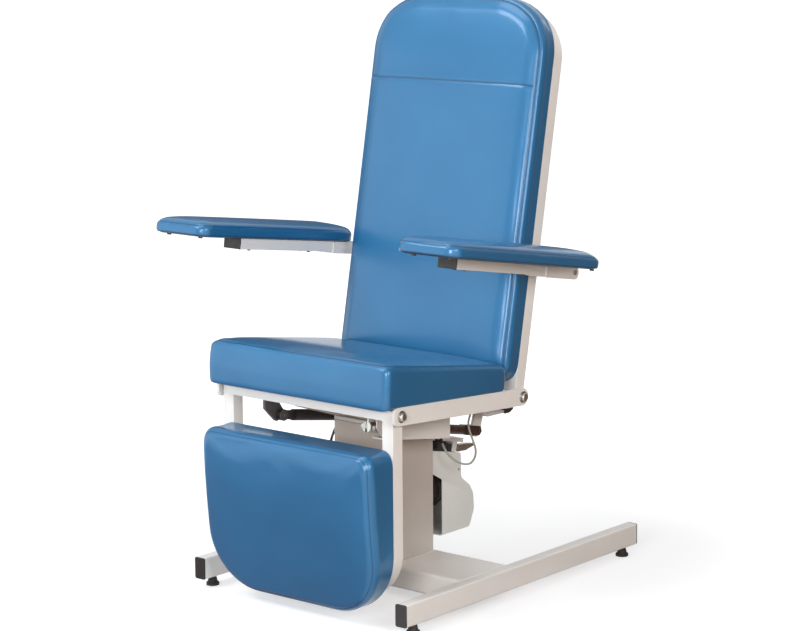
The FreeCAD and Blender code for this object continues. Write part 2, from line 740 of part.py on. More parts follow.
def build_arm(side, sign):
    tube_x1 = arm_tube_outer_x
    round_end = arm_tube_height / 2
    pivot = (-round_end, round_end)
    hole = rod_x(arm_tube_x - 10, tube_x1 + 10, pivot[0], pivot[1],
                 arm_pivot_radius + running_clearance)
    outer = prism_x(rectangle(-arm_tube_length, 0, 0, arm_tube_height), arm_tube_x, tube_x1,
                    [0.0, round_end - 0.1, round_end - 0.1, 0.0])
    gap = arm_tube_wall
    hollow = block(arm_tube_x + gap, tube_x1 - gap, -arm_tube_length - 1, -arm_tube_height,
                   gap, arm_tube_height - gap)
    tube = outer.cut(hollow).cut(hole)
    add("arm_tube_" + side, on_arm(mirrored(tube, sign), side))

    flange = block(arm_tube_x, tube_x1, -arm_tube_length - cap_flange, -arm_tube_length,
                   0, arm_tube_height)
    flange = flange.makeFillet(1.2, [edge for edge in flange.Edges if
                                     edge.CenterOfMass.y < -arm_tube_length - cap_flange + 0.1])
    fit = gap + cap_fit
    spigot = block(arm_tube_x + fit, tube_x1 - fit, -arm_tube_length, -arm_tube_length + cap_spigot,
                   fit, arm_tube_height - fit)
    add("arm_end_cap_" + side, on_arm(mirrored(flange.fuse(spigot), sign), side))

    points, radii = arm_plan(side, arm_board_inset)
    board = prism_z(points, arm_tube_height, arm_tube_height + arm_board_thickness, radii)
    add("arm_board_" + side, on_arm(mirrored(board, sign), side))

    points, radii = arm_plan(side, 0.0)
    pad_bottom = arm_tube_height + arm_pad_above_tube
    pad_top = pad_bottom + arm_pad_thickness
    pad = prism_z(points, pad_bottom, pad_top, radii)
    pad = rounded_solid(pad, arm_pad_edge_round, lambda edge: edge.CenterOfMass.z < pad_top - 1)
    add("arm_pad_" + side, on_arm(mirrored(pad.cut(board), sign), side))

    screws = []
    for x, y in ((arm_tube_x + 12, -arm_tube_length + 40), (tube_x1 - 12, -arm_tube_length + 40),
                 (arm_tube_x + 12, -190.0), (tube_x1 - 12, -190.0)):
        screws.append(rod_z(-3.0, 0.0, x, y, arm_screw_radius))
    for x, y in ((arm_pad_inner_x + 35, arm_pad_front + 28), (arm_pad_outer_x - 32, arm_pad_front + 28),
                 (arm_pad_outer_x - 32, -40.0)):
        screws.append(rod_z(arm_tube_height - 4.0, arm_tube_height, x, y, arm_nut_radius))
    add("arm_screws_" + side, on_arm(mirrored(group(screws), sign), side))

    add("arm_bracket_" + side, arm_bracket(side, sign, pivot, hole))


def arm_bracket(side, sign, pivot, hole):
    """Bridge welded to the backrest tube, and the U-shaped saddle that the arm tube folds out of."""
    low = -saddle_gap - saddle_plate
    inner = arm_tube_x - saddle_gap - saddle_plate
    outer = arm_tube_outer_x + saddle_gap + saddle_plate
    end = saddle_gap + saddle_plate
    top = arm_tube_height - saddle_gap - 0.5
    channel = prism_x(rectangle(-saddle_length, end, low, top), inner, outer,
                      [2.0, arm_tube_height / 2, arm_tube_height / 2 - 2, 6.0])
    space = block(arm_tube_x - saddle_gap, arm_tube_outer_x + saddle_gap,
                  -saddle_length - 1, end + 1, -saddle_gap, arm_tube_height + 5)
    saddle = on_arm(mirrored(channel.cut(space).cut(hole), sign), side)
    bridge = block(frame_half_x, inner + 1, -bridge_depth / 2, bridge_depth / 2,
                   bridge_up - bridge_height / 2, bridge_up + bridge_height / 2)
    return saddle.fuse(on_back(mirrored(bridge, sign)))


def build_arm_pivots():
    """Bolt through both cheeks of each saddle, with a flush head outside."""
    inner = arm_tube_x - saddle_gap - saddle_plate
    outer = arm_tube_outer_x + saddle_gap + saddle_plate
    y, z = -arm_tube_height / 2, arm_tube_height / 2
    bolts = []
    for side, sign in SIDES.items():
        shank = rod_x(inner - 3, outer, y, z, arm_pivot_radius)
        head = rod_x(outer, outer + 2.5, y, z, arm_pivot_radius + 2)
        nut = rod_x(inner - 6, inner, y, z, arm_pivot_radius + 2.5)
        bolts.append(on_arm(mirrored(shank.fuse(head).fuse(nut), sign), side))
    add("arm_pivot_bolts", group(bolts))


# ------------------------------------------------------------ legrest
def build_leg_frame():
    """U-shaped bent tube with a bar across its top, hung on the front pivot bolts."""
    top = leg_crossbar_underside + leg_crossbar_height
    radii = [leg_frame_corner, leg_frame_corner, 0.0, 0.0]
    inner_radii = [leg_frame_corner - frame_tube] * 2 + [0.0, 0.0]
    frame = prism_y(rectangle(-frame_half_x, frame_half_x, leg_frame_bottom, top),
                    leg_front_y, leg_rear_y, radii)
    inner = rectangle(-frame_inner_x, frame_inner_x, leg_frame_bottom + frame_tube, top + 5)
    frame = frame.cut(prism_y(inner, leg_front_y - 1, leg_rear_y + 1, inner_radii))
    frame = frame.fuse(block(-frame_inner_x, frame_inner_x, leg_front_y, leg_rear_y,
                             leg_crossbar_underside, top)).removeSplitter()
    wall = frame_wall
    hollow = prism_y(rectangle(-frame_half_x + wall, frame_half_x - wall,
                               leg_frame_bottom + wall, top + 1),
                     leg_front_y + wall, leg_rear_y - wall,
                     [leg_frame_corner - wall] * 2 + [0.0, 0.0])
    core = prism_y(rectangle(-frame_inner_x - wall, frame_inner_x + wall,
                             leg_frame_bottom + frame_tube - wall, top + 5),
                   leg_front_y - 1, leg_rear_y + 1,
                   [leg_frame_corner - frame_tube + wall] * 2 + [0.0, 0.0])
    bar_hollow = block(-frame_inner_x - 5, frame_inner_x + 5, leg_front_y + wall, leg_rear_y - wall,
                       leg_crossbar_underside + wall, top - wall)
    frame = frame.cut(hollow.cut(core)).cut(bar_hollow)
    frame = frame.cut(rod_x(-frame_half_x - 1, frame_half_x + 1, front_hinge_y, front_hinge_z,
                            pivot_bolt_radius + running_clearance))
    add("leg_frame", frame)


def build_leg_pad():
    """Pad on the front of the legrest frame, thinner towards the foot, with large lower corners."""
    front_bottom = leg_front_y - leg_cushion_bottom_depth
    plan = rectangle(-frame_half_x, frame_half_x, leg_cushion_bottom, leg_cushion_top)
    radii = [leg_cushion_low_corner] * 2 + [leg_cushion_top_corner] * 2
    pad = prism_y(plan, leg_cushion_front_y - 5, leg_front_y, radii)
    side_view = [(front_bottom, leg_cushion_bottom), (leg_front_y, leg_cushion_bottom),
                 (leg_front_y, leg_cushion_top), (leg_cushion_front_y + 1, leg_cushion_top),
                 (leg_cushion_front_y, leg_cushion_depth_z)]
    wedge = prism_x(side_view, -frame_half_x - 1, frame_half_x + 1,
                    [leg_front_round, 0.0, 0.0, leg_front_round, leg_front_bend])
    pad = pad.common(wedge)
    board_points = rectangle(-frame_half_x + board_inset, frame_half_x - board_inset,
                             leg_cushion_bottom + board_inset, leg_cushion_top - board_inset)
    low_corner = leg_cushion_low_corner - board_inset
    top_corner = leg_cushion_top_corner - board_inset
    board = prism_y(board_points, leg_front_y - leg_board_thickness, leg_front_y,
                    [low_corner, low_corner, top_corner, top_corner])
    add("leg_board", board)
    add("leg_cushion", pad.cut(board))


def build_leg_lug():
    """Plate under the legrest crossbar, with the pin on which the sync link turns."""
    profile = [(leg_front_y, leg_crossbar_underside), (leg_rear_y + 8, leg_crossbar_underside),
               (lug_pin_y + 14, lug_pin_z + 8), (lug_pin_y + 12, lug_pin_z - 12),
               (lug_pin_y - 12, lug_pin_z - 14), (leg_front_y, leg_crossbar_underside - 20)]
    plate = prism_x(profile, lug_x - lug_thickness / 2, lug_x + lug_thickness / 2,
                    [0.0, 0.0, 6.0, 9.0, 9.0, 3.0])
    face = lug_x + lug_thickness / 2
    pin = rod_x(face - 1, face + link_eye_width + 6, lug_pin_y, lug_pin_z, link_pin_radius)
    washer = rod_x(face + link_eye_width + 0.4, face + link_eye_width + 3, lug_pin_y, lug_pin_z, 13.0)
    return plate.fuse(pin).fuse(washer)


# ------------------------------------------------------------ links
def along_link(shape, start_y, start_z, end_y, end_z):
    """From axes where y runs along the link, starting at its front pin."""
    angle = math.degrees(math.atan2(start_z - end_z, end_y - start_y))
    return tilt(shape, start_y, start_z, angle)


def fork(x, length, cheek_x, radius):
    """Rear fork around a lever: two cheeks, a solid root, and bolt heads outside, no pin through."""
    slot = cheek_x
    outer = slot + fork_cheek
    cheeks = []
    for sign in (-1, 1):
        x0, x1 = sorted((x + sign * slot, x + sign * outer))
        cheek = prism_x(rectangle(length - fork_length, length + fork_tip, -radius, radius), x0, x1,
                        [0.0, fork_tip, fork_tip, 0.0])
        bolt = rod_x(*sorted((x + sign * outer, x + sign * (outer + fork_bolt_height))), length, 0,
                     fork_bolt_radius)
        cheeks.append(cheek.fuse(bolt))
    root = block(x - outer, x + outer, length - fork_length, length - fork_length + fork_root,
                 -radius, radius)
    return root.fuse(cheeks[0]).fuse(cheeks[1])


def build_sync_link():
    x = link_x
    length = math.hypot(lever_pin_y - lug_pin_y, lever_pin_z - lug_pin_z)
    half = link_eye_width / 2 - link_side_gap / 2
    slot = lever_thickness / 2 + fork_side_gap
    eye = rod_x(x - half, x + half, 0, 0, link_radius)
    neck = prism_x(rectangle(0, link_neck + 2, -link_radius + 3, link_radius - 3), x - half, x + half)
    plug = rod_y(link_neck, link_neck + 24, x, 0, link_bore)
    hole = rod_x(x - half - 1, x + half + 1, 0, 0, link_pin_radius + running_clearance)
    front_eye = eye.fuse(neck).fuse(plug).cut(hole)
    tube_end = length - fork_length
    tube_start = link_neck + 6
    tube = rod_y(tube_start, tube_end, x, 0, link_radius)
    tube = tube.cut(rod_y(tube_start - 1, tube_end + 1, x, 0, link_bore))
    rear_fork = fork(lever_right_x, length, slot, link_radius)
    rear_plug = rod_y(tube_end - 20, tube_end + 2, x, 0, link_bore)
    shape = group([front_eye, tube, rear_fork.fuse(rear_plug)])
    add("sync_link", along_link(shape, lug_pin_y, lug_pin_z, lever_pin_y, lever_pin_z))


def build_gas_spring():
    length = math.hypot(lever_pin_y - gas_pin_y, lever_pin_z - gas_pin_z)
    slot = gas_lug_thickness / 2 + 0.5
    clevis = rod_y(-clevis_front, clevis_length, gas_x, 0, clevis_radius)
    clevis = clevis.cut(block(gas_x - slot, gas_x + slot, -20, clevis_length - 9, -20, 20))
    clevis = clevis.cut(rod_x(gas_x - 20, gas_x + 20, 0, 0, gas_pin_radius + running_clearance))
    piston_end = length - fork_length - 8 - gas_stroke
    nut = rod_y(clevis_length, clevis_length + 10, gas_x, 0, gas_rod_radius + 3)
    rod = rod_y(clevis_length + 10, piston_end, gas_x, 0, gas_rod_radius)
    piston = rod_y(piston_end - 10, piston_end, gas_x, 0, gas_cylinder_bore - running_clearance)
    front = clevis.fuse(nut).fuse(rod).fuse(piston)
    add("gas_spring_rod", along_link(front, gas_pin_y, gas_pin_z, lever_pin_y, lever_pin_z))
    tube_end = length - fork_length
    tube = rod_y(gas_cylinder_start, tube_end, gas_x, 0, gas_cylinder_radius)
    tube = tube.cut(rod_y(gas_cylinder_start + 12, tube_end - 6, gas_x, 0, gas_cylinder_bore))
    tube = tube.cut(rod_y(gas_cylinder_start - 1, gas_cylinder_start + 13, gas_x, 0,
                          gas_rod_radius + running_clearance))
    rear_fork = fork(gas_x, length, lever_thickness / 2 + fork_side_gap, gas_cylinder_radius)
    add("gas_spring_cylinder", along_link(tube.fuse(rear_fork), gas_pin_y, gas_pin_z,
                                          lever_pin_y, lever_pin_z))


def build_guard():
    """Folded sheet beside the gas spring: a web outside it and a flange beneath it."""
    underside = bar_height / 2 - cross_tube_size
    rear_tube_end = front_hinge_y + cross_tube_rear + cross_tube_size
    bottom_front = guard_front_z
    bottom_rear = guard_rear_z
    profile = [(guard_front_y, bottom_front), (guard_rear_y, bottom_rear),
               (guard_rear_y, seat_height(guard_rear_y, underside) - 2),
               (rear_tube_end, seat_height(rear_tube_end, underside)),
               (front_hinge_y + cross_tube_front + 2,
                seat_height(front_hinge_y + cross_tube_front + 2, underside)),
               (front_hinge_y + cross_tube_front + 2, bottom_front + 30)]
    web = prism_x(profile, guard_outer_x - guard_thickness, guard_outer_x,
                  [2.0, 4.0, 4.0, 0.0, 0.0, 10.0])
    slope = math.degrees(math.atan2(bottom_front - bottom_rear, guard_rear_y - guard_front_y))
    run = math.hypot(bottom_front - bottom_rear, guard_rear_y - guard_front_y)
    flange = tilt(block(guard_flange_x, guard_outer_x, 0, run, 0, guard_thickness),
                  guard_front_y, bottom_front, slope)
    add("gas_spring_guard", web.fuse(flange))


# ------------------------------------------------------------ drive unit
def cover_points():
    """Side view of the cover: a narrow head with a sloping top, over a deep rounded belly."""
    y, z = bracket_front_y, cover_bottom_z
    return [(cover_front_y, z), (y + 144, z), (y + 162, z + 40), (y + 160, z + 76), (y + 146, z + 100),
            (cover_neck_y, z + 124), (cover_neck_y, cover_top_rear_z),
            (cover_shoulder_y, cover_top_front_z), (cover_shoulder_y, z + 154), (cover_front_y, z + 132)]


def inset_points(points, inset, centre_y, centre_z):
    """Pulls every corner of an outline towards its middle by a wall thickness."""
    return [(y - math.copysign(inset, y - centre_y), z - math.copysign(inset, z - centre_z))
            for y, z in points]


def on_cover(shape):
    """From axes on the cover's sloping top: y runs backwards from its front edge, z away from it."""
    return tilt(shape, cover_shoulder_y, cover_top_front_z, cover_slope)


def build_drive():
    radii = [2.0, 12.0, 20.0, 30.0, 12.0, 18.0, 8.0, 2.0, 2.0, 6.0]
    outer = prism_x(cover_points(), -cover_half_x, cover_half_x, radii)
    middle_z = (cover_bottom_z + cover_top_rear_z) / 2
    inner_points = inset_points(cover_points(), cover_wall, cover_front_y + cover_front_step, middle_z)
    open_y = cover_shoulder_y - 46
    rise = (cover_neck_y - open_y) * math.tan(math.radians(cover_slope))
    open_front = [(open_y, inner_points[0][1])] + inner_points[1:7]
    open_front.append((open_y, inner_points[6][1] + rise))
    inner_radii = [0.0, 10.0, 18.0, 28.0, 14.0, 20.0, 6.0, 0.0]
    inner = prism_x(open_front, -cover_half_x + cover_wall, cover_half_x - cover_wall, inner_radii)
    cover = outer.cut(inner)
    lip = block(-cover_half_x, cover_half_x, cover_front_y - 8, cover_front_y + 1,
                cover_bottom_z, cover_bottom_z + cover_wall)
    cover = cover.fuse(lip)
    cover = cover.cut(rod_x(cover_half_x - 5, cover_half_x + 1, cover_hole_y, cover_hole_z,
                          cover_hole_radius))
    add("drive_cover", cover.cut(power_glands()[1][0]))

    ring_front = motor_front_y + motor_disc_length
    ring_rear = ring_front + ring_thickness
    ring = rod_y(ring_front, ring_rear, motor_x, motor_z, motor_ring_radius)
    for step in range(ring_notches):
        angle = 2 * math.pi * step / ring_notches
        notch_x = motor_x + motor_ring_radius * math.cos(angle)
        notch_z = motor_z + motor_ring_radius * math.sin(angle)
        ring = ring.cut(rod_y(ring_front - 1, ring_rear + 1, notch_x, notch_z, ring_notch_radius))
    bore = motor_hub_radius + 0.1
    add("motor_ring", ring.cut(rod_y(ring_front - 1, ring_rear + 1, motor_x, motor_z, bore)))
    plate_rear = bracket_front_y + bracket_thickness
    disc = rod_y(motor_front_y, ring_front, motor_x, motor_z, motor_radius)
    body = rod_y(ring_rear, ring_rear + motor_body_length, motor_x, motor_z, motor_radius)
    hub = rod_y(plate_rear, ring_rear, motor_x, motor_z, motor_hub_radius)
    add("drive_motor", disc.fuse(hub).fuse(body))
    add("drive_bracket", drive_bracket(plate_rear))


def drive_bracket(plate_rear):
    """Plate behind the column that carries the motor and the cover, with a shelf over the cover."""
    half_x = cover_half_x - 6
    plate = block(-half_x, half_x, bracket_front_y, plate_rear, motor_z - 56, head_plate_z)
    foot = block(-half_x, half_x, column_rear_y, plate_rear, head_plate_z,
                 head_plate_z + head_plate_thickness)
    ears = []
    for sign in (-1, 1):
        x0, x1 = sorted((sign * half_x, sign * (cover_half_x - cover_wall)))
        ears.append(block(x0, x1, bracket_front_y, cover_shoulder_y + 26, cover_top_front_z - 43,
                          cover_top_front_z - 14))
    shelf = on_cover(block(shelf_x0, shelf_x1, 0, shelf_end, shelf_gap, shelf_gap + shelf_thickness))
    arm = block(shelf_x0, shelf_x1 - 4, plate_rear - 1, cover_shoulder_y + 8,
                cover_top_front_z + shelf_gap - 2, cover_top_front_z + shelf_gap + shelf_thickness - 2)
    ear = on_cover(block(lever_hub_x0 - 13, lever_hub_x0 - 0.3, 76, lever_hub_along + 9, 2, shelf_gap + 1))
    tab = on_cover(block(lever_hub_x0 - 1, cover_half_x, 77, lever_hub_along - lever_hub_radius - 1.5,
                         2, shelf_gap + 1))
    bore = on_cover(rod_x(0, cover_half_x, lever_hub_along, lever_hub_up,
                          lever_pin_radius + running_clearance))
    bracket = plate.fuse([foot, ears[0], ears[1], shelf, arm, ear, tab]).cut(bore)
    bracket = bracket.cut(power_glands()[1][0])
    return bracket.removeSplitter()


# ------------------------------------------------------------ release controls
def build_release():
    """Release block on top of the cover, its lever, and the paddle under the seat's rear edge."""
    body = block(release_block_x0, cover_half_x, 7, 74.5, cover_gap, 18.5)
    neck = block(release_block_x0, cover_half_x - 20, 7, 74.5, 18, shelf_gap)
    block_solid = body.fuse(neck).removeSplitter()
    ribs = [block(cover_half_x - 1.2, cover_half_x + 1, y, y + 3, 4, 15) for y in (22, 34, 46, 58)]
    for rib in ribs:
        block_solid = block_solid.cut(rib)
    cheek = block(cover_half_x, cover_half_x + 9, 10, 26, 6, 28)
    block_solid = on_cover(block_solid.fuse(cheek))
    sleeve, bore = cable_socket(release_route()[-1], release_route()[-2], cable_radius,
                                ferrule_radius, ferrule_length)
    add("release_block", block_solid.fuse(sleeve).cut(bore).removeSplitter())

    pin = rod_x(lever_hub_x0 - 15, cover_half_x + 2, lever_hub_along, lever_hub_up, lever_pin_radius)
    hub = rod_x(lever_hub_x0, cover_half_x, lever_hub_along, lever_hub_up, lever_hub_radius)
    root_y, root_z = lever_hub_along, lever_hub_up
    blade = prism_x([(root_y - 2, root_z - lever_hub_radius + 0.5), (root_y + 26, root_z - 4),
                     (root_y + 56, root_z + 9), (root_y + 56, root_z + 14),
                     (root_y + 24, root_z + 12), (root_y, root_z + lever_hub_radius - 0.5)],
                    lever_hub_x0, cover_half_x, [0.0, 8.0, 2.0, 2.0, 10.0, 0.0])
    add("release_lever", on_cover(pin.fuse(hub).fuse(blade)).removeSplitter())

    x0, x1 = paddle_x - paddle_width / 2, paddle_x + paddle_width / 2
    grip_y = paddle_pivot_y + paddle_reach
    bottom = paddle_bottom_z
    blade = prism_x([(paddle_pivot_y - 5, paddle_pivot_z - 4), (paddle_pivot_y + 17, bottom + 1),
                     (grip_y, bottom - 1), (grip_y, bottom - 1 + paddle_thickness),
                     (paddle_pivot_y + 20, bottom + 1 + paddle_thickness),
                     (paddle_pivot_y + 4, paddle_pivot_z + 3)],
                    x0, x1, [2.0, 12.0, 0.0, 0.0, 8.0, 2.0])
    knuckle = rod_x(x0, x1, paddle_pivot_y, paddle_pivot_z, paddle_knuckle_radius)
    bore = rod_x(x0 - 1, x1 + 1, paddle_pivot_y, paddle_pivot_z, lever_pin_radius + running_clearance)
    add("release_paddle", blade.fuse(knuckle).cut(bore).removeSplitter())
    grip = prism_x([(grip_y - grip_length, bottom - 2.5), (grip_y + 4, bottom - 2.5),
                    (grip_y + 18, bottom + 4), (grip_y + 18, bottom + paddle_thickness + 2.5),
                    (grip_y - grip_length, bottom + paddle_thickness + 2.5)],
                   x0 - 2, x1 + 2, [2.0, 3.0, 2.0, 2.0, 2.0])
    add("paddle_grip", grip.cut(blade))


def paddle_bracket(tube_rear_y, tube_bottom_z):
    """Cheek welded to the rear cross tube, with the paddle's pin and a tab that ends the cable."""
    x1 = paddle_x - paddle_width / 2 - 0.5
    x0 = x1 - 5
    y, z = paddle_pivot_y, paddle_pivot_z
    cheek = prism_x([(y - 7, z - 6), (y + 7, z - 6), (y + 7, z + 8), (tube_rear_y - 6, tube_bottom_z + 22),
                     (tube_rear_y - 6, tube_bottom_z + 4)], x0, x1, [4.0, 5.0, 5.0, 0.0, 0.0])
    pin_end = paddle_x + paddle_width / 2 + 0.5
    pin = rod_x(x0, pin_end, y, z, lever_pin_radius)
    head = rod_x(pin_end, pin_end + 3, y, z, lever_pin_radius + 2)
    start_x, start_y, start_z = release_route()[0]
    tab = block(x0 + 1, start_x + 10, start_y - 8, start_y + 8, start_z + 5, start_z + 8)
    ferrule, bore = cable_socket(release_route()[0], release_route()[1], cable_radius,
                                 ferrule_radius, ferrule_length)
    return cheek.fuse([pin, head, tab, ferrule]).cut(bore)


# ------------------------------------------------------------ held cables
def cable(points, radius, label):
    """Tube of straight runs joined by tangent arcs through hand-picked points."""
    corners = [Vector(*p) for p in points]
    edges = []
    start = corners[0]
    smallest = None
    for i in range(1, len(corners) - 1):
        before = corners[i - 1] - corners[i]
        after = corners[i + 1] - corners[i]
        run = min(before.Length, after.Length)
        unit_before = Vector(before).normalize()
        unit_after = Vector(after).normalize()
        half_turn = (math.pi - unit_before.getAngle(unit_after)) / 2
        reach = 0.45 * run
        bend = reach / math.tan(half_turn)
        first = corners[i] + unit_before * reach
        last = corners[i] + unit_after * reach
        middle = (unit_before + unit_after).normalize()
        apex = corners[i] + middle * (bend / math.cos(half_turn) - bend)
        edges.append(Part.LineSegment(start, first).toShape())
        edges.append(Part.Arc(first, apex, last).toShape())
        start = last
        smallest = bend if smallest is None else min(smallest, bend)
        print(label, "bend", i, "radius", round(bend, 1), "run", round(before.Length, 1))
    edges.append(Part.LineSegment(start, corners[-1]).toShape())
    path = Part.Wire(edges)
    direction = corners[1] - corners[0]
    profile = Part.Wire([Part.makeCircle(radius, corners[0], direction)])
    tube = path.makePipeShell([profile], True, True)
    expected = math.pi * radius * radius * path.Length
    print(label, "length", round(path.Length, 1), "volume ratio", round(tube.Volume / expected, 4))
    return tube


def release_route():
    """Bowden cable from the tab beside the paddle, down in a loop and up to the release block."""
    return [(191, -47, 416), (181, -47, 397), (171, -38, 376), (164, -22, 354), (159, -4, 330),
            (153, 14, 306), (142, 24, 283), (128, 22, 266), (113, 4, 270), (104, -16, 286),
            (94, -28, 306), (74, -14, 320)]


def power_route():
    """Actuator cable from the carrier, down beside the column and back to the drive unit."""
    return [(-76, -132, 409), (-92, -146, 402), (-96, -168, 384), (-94, -188, 360), (-98, -200, 334),
            (-104, -196, 306), (-108, -176, 282), (-106, -146, 266), (-100, -112, 258),
            (-94, -78, 254), (-86, -44, 254), (-62, -26, 254)]


def cable_socket(end, before, radius, outer_radius, length):
    """Sleeve that a cable's end sits in, two thirds of its length deep, and the sleeve's blind bore."""
    tip = Vector(*end)
    along = (tip - Vector(*before)).normalize()
    mouth = tip - along * (length * 2 / 3)
    sleeve = Part.makeCylinder(outer_radius, length, mouth, along)
    bore = Part.makeCylinder(radius + running_clearance, length * 2 / 3, mouth, along)
    return sleeve, bore


def power_glands():
    """Gland and its bore at each end of the actuator cable."""
    route = power_route()
    return [cable_socket(route[0], route[1], power_cable_radius, gland_radius, gland_length),
            cable_socket(route[-1], route[-2], power_cable_radius, gland_radius, gland_length)]


def build_cables():
    add("release_cable", cable(release_route(), cable_radius, "release_cable"))
    add("power_cable", cable(power_route(), power_cable_radius, "power_cable"))
    add("cable_glands", group([gland.cut(bore) for gland, bore in power_glands()]))


# ------------------------------------------------------------ whole chair
def main():
    build_base()
    build_feet()
    build_column()
    build_carrier()
    build_seat_frame()
    build_seat()
    build_pivots()
    build_back_frame()
    build_back_pad()
    build_levers()
    for side, sign in SIDES.items():
        build_arm(side, sign)
    build_arm_pivots()
    build_leg_frame()
    build_leg_pad()
    add("leg_lug", build_leg_lug())
    build_sync_link()
    build_gas_spring()
    build_guard()
    build_drive()
    build_release()
    build_cables()
    os.makedirs("parts", exist_ok=True)
    for name, shape in parts.items():
        if not shape.isValid():
            print("invalid shape", name)
        shape.exportStep(os.path.join("parts", name + ".step"))
    print(len(parts), "nodes, centre shift", round(centre_shift, 3))


main()
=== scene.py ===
import math
import bpy
import numpy as np
from mathutils import Matrix, Vector


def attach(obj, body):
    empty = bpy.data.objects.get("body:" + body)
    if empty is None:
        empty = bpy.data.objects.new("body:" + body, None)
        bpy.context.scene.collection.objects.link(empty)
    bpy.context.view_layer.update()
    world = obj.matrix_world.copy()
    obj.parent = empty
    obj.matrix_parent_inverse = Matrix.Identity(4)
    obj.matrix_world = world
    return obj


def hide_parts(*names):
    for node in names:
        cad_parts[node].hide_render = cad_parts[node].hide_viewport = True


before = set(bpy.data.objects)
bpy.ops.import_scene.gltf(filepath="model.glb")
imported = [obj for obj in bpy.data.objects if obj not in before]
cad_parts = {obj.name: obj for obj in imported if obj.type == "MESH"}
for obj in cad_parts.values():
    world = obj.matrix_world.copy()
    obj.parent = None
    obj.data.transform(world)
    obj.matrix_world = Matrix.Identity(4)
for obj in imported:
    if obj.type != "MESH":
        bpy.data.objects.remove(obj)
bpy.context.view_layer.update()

# Lengths are millimetres, with Y measured from the middle of the floor rails, as part.py draws them.
# row() brings them into the row frame in metres.
MM = 0.001
CENTRE_SHIFT = 20.125


def row(points):
    """Points in millimetres, rails in the middle, as an array of metres in the row frame."""
    return (np.asarray(points, dtype=float) + (0.0, CENTRE_SHIFT, 0.0)) * MM


def tilted(points, origin_y, origin_z, degrees):
    """Points from axes that lean back by degrees about a line along X."""
    points = np.asarray(points, dtype=float)
    c = math.cos(math.radians(degrees))
    s = math.sin(math.radians(degrees))
    x, y, z = points[:, 0], points[:, 1], points[:, 2]
    return np.stack([x, origin_y + y * c + z * s, origin_z - y * s + z * c], axis=1)


# ---------------------------------------------------------------- camera
FOCAL_PX = 2508.087
IMAGE_WIDTH = 790
CAMERA_PLACE = (3586.8, -4358.2, 1619.1)
CAMERA_AZIMUTH = 40.019420
CAMERA_ELEVATION = 10.215399
CAMERA_ROLL = -0.478265


def make_camera():
    """The photograph's camera, as it was recovered from the object's straight edges."""
    a = math.radians(CAMERA_AZIMUTH)
    e = math.radians(CAMERA_ELEVATION)
    r = math.radians(CAMERA_ROLL)
    back = Vector((math.sin(a) * math.cos(e), -math.cos(a) * math.cos(e), math.sin(e)))
    level_right = (-back).cross(Vector((0, 0, 1))).normalized()
    level_up = level_right.cross(-back)
    right = math.cos(r) * level_right + math.sin(r) * level_up
    up = -math.sin(r) * level_right + math.cos(r) * level_up
    data = bpy.data.cameras.new("camera")
    data.sensor_fit = "HORIZONTAL"
    data.sensor_width = 36.0
    data.lens = FOCAL_PX * data.sensor_width / IMAGE_WIDTH
    data.clip_start = 0.05
    data.clip_end = 200.0
    camera = bpy.data.objects.new("camera", data)
    bpy.context.scene.collection.objects.link(camera)
    turn = Matrix((right, up, back)).transposed().to_4x4()
    camera.matrix_world = Matrix.Translation(row([CAMERA_PLACE])[0]) @ turn
    bpy.context.scene.camera = camera


# ---------------------------------------------------------------- materials
def linear(rgb):
    """Eight-bit sRGB as scene linear, with alpha."""
    values = []
    for channel in rgb:
        c = channel / 255.0
        values.append(c / 12.92 if c <= 0.04045 else ((c + 0.055) / 1.055) ** 2.4)
    return (*values, 1.0)


def lighter(rgb, by):
    """The colour with every eight-bit channel raised, as scene linear."""
    return linear([min(255, channel + by) for channel in rgb])


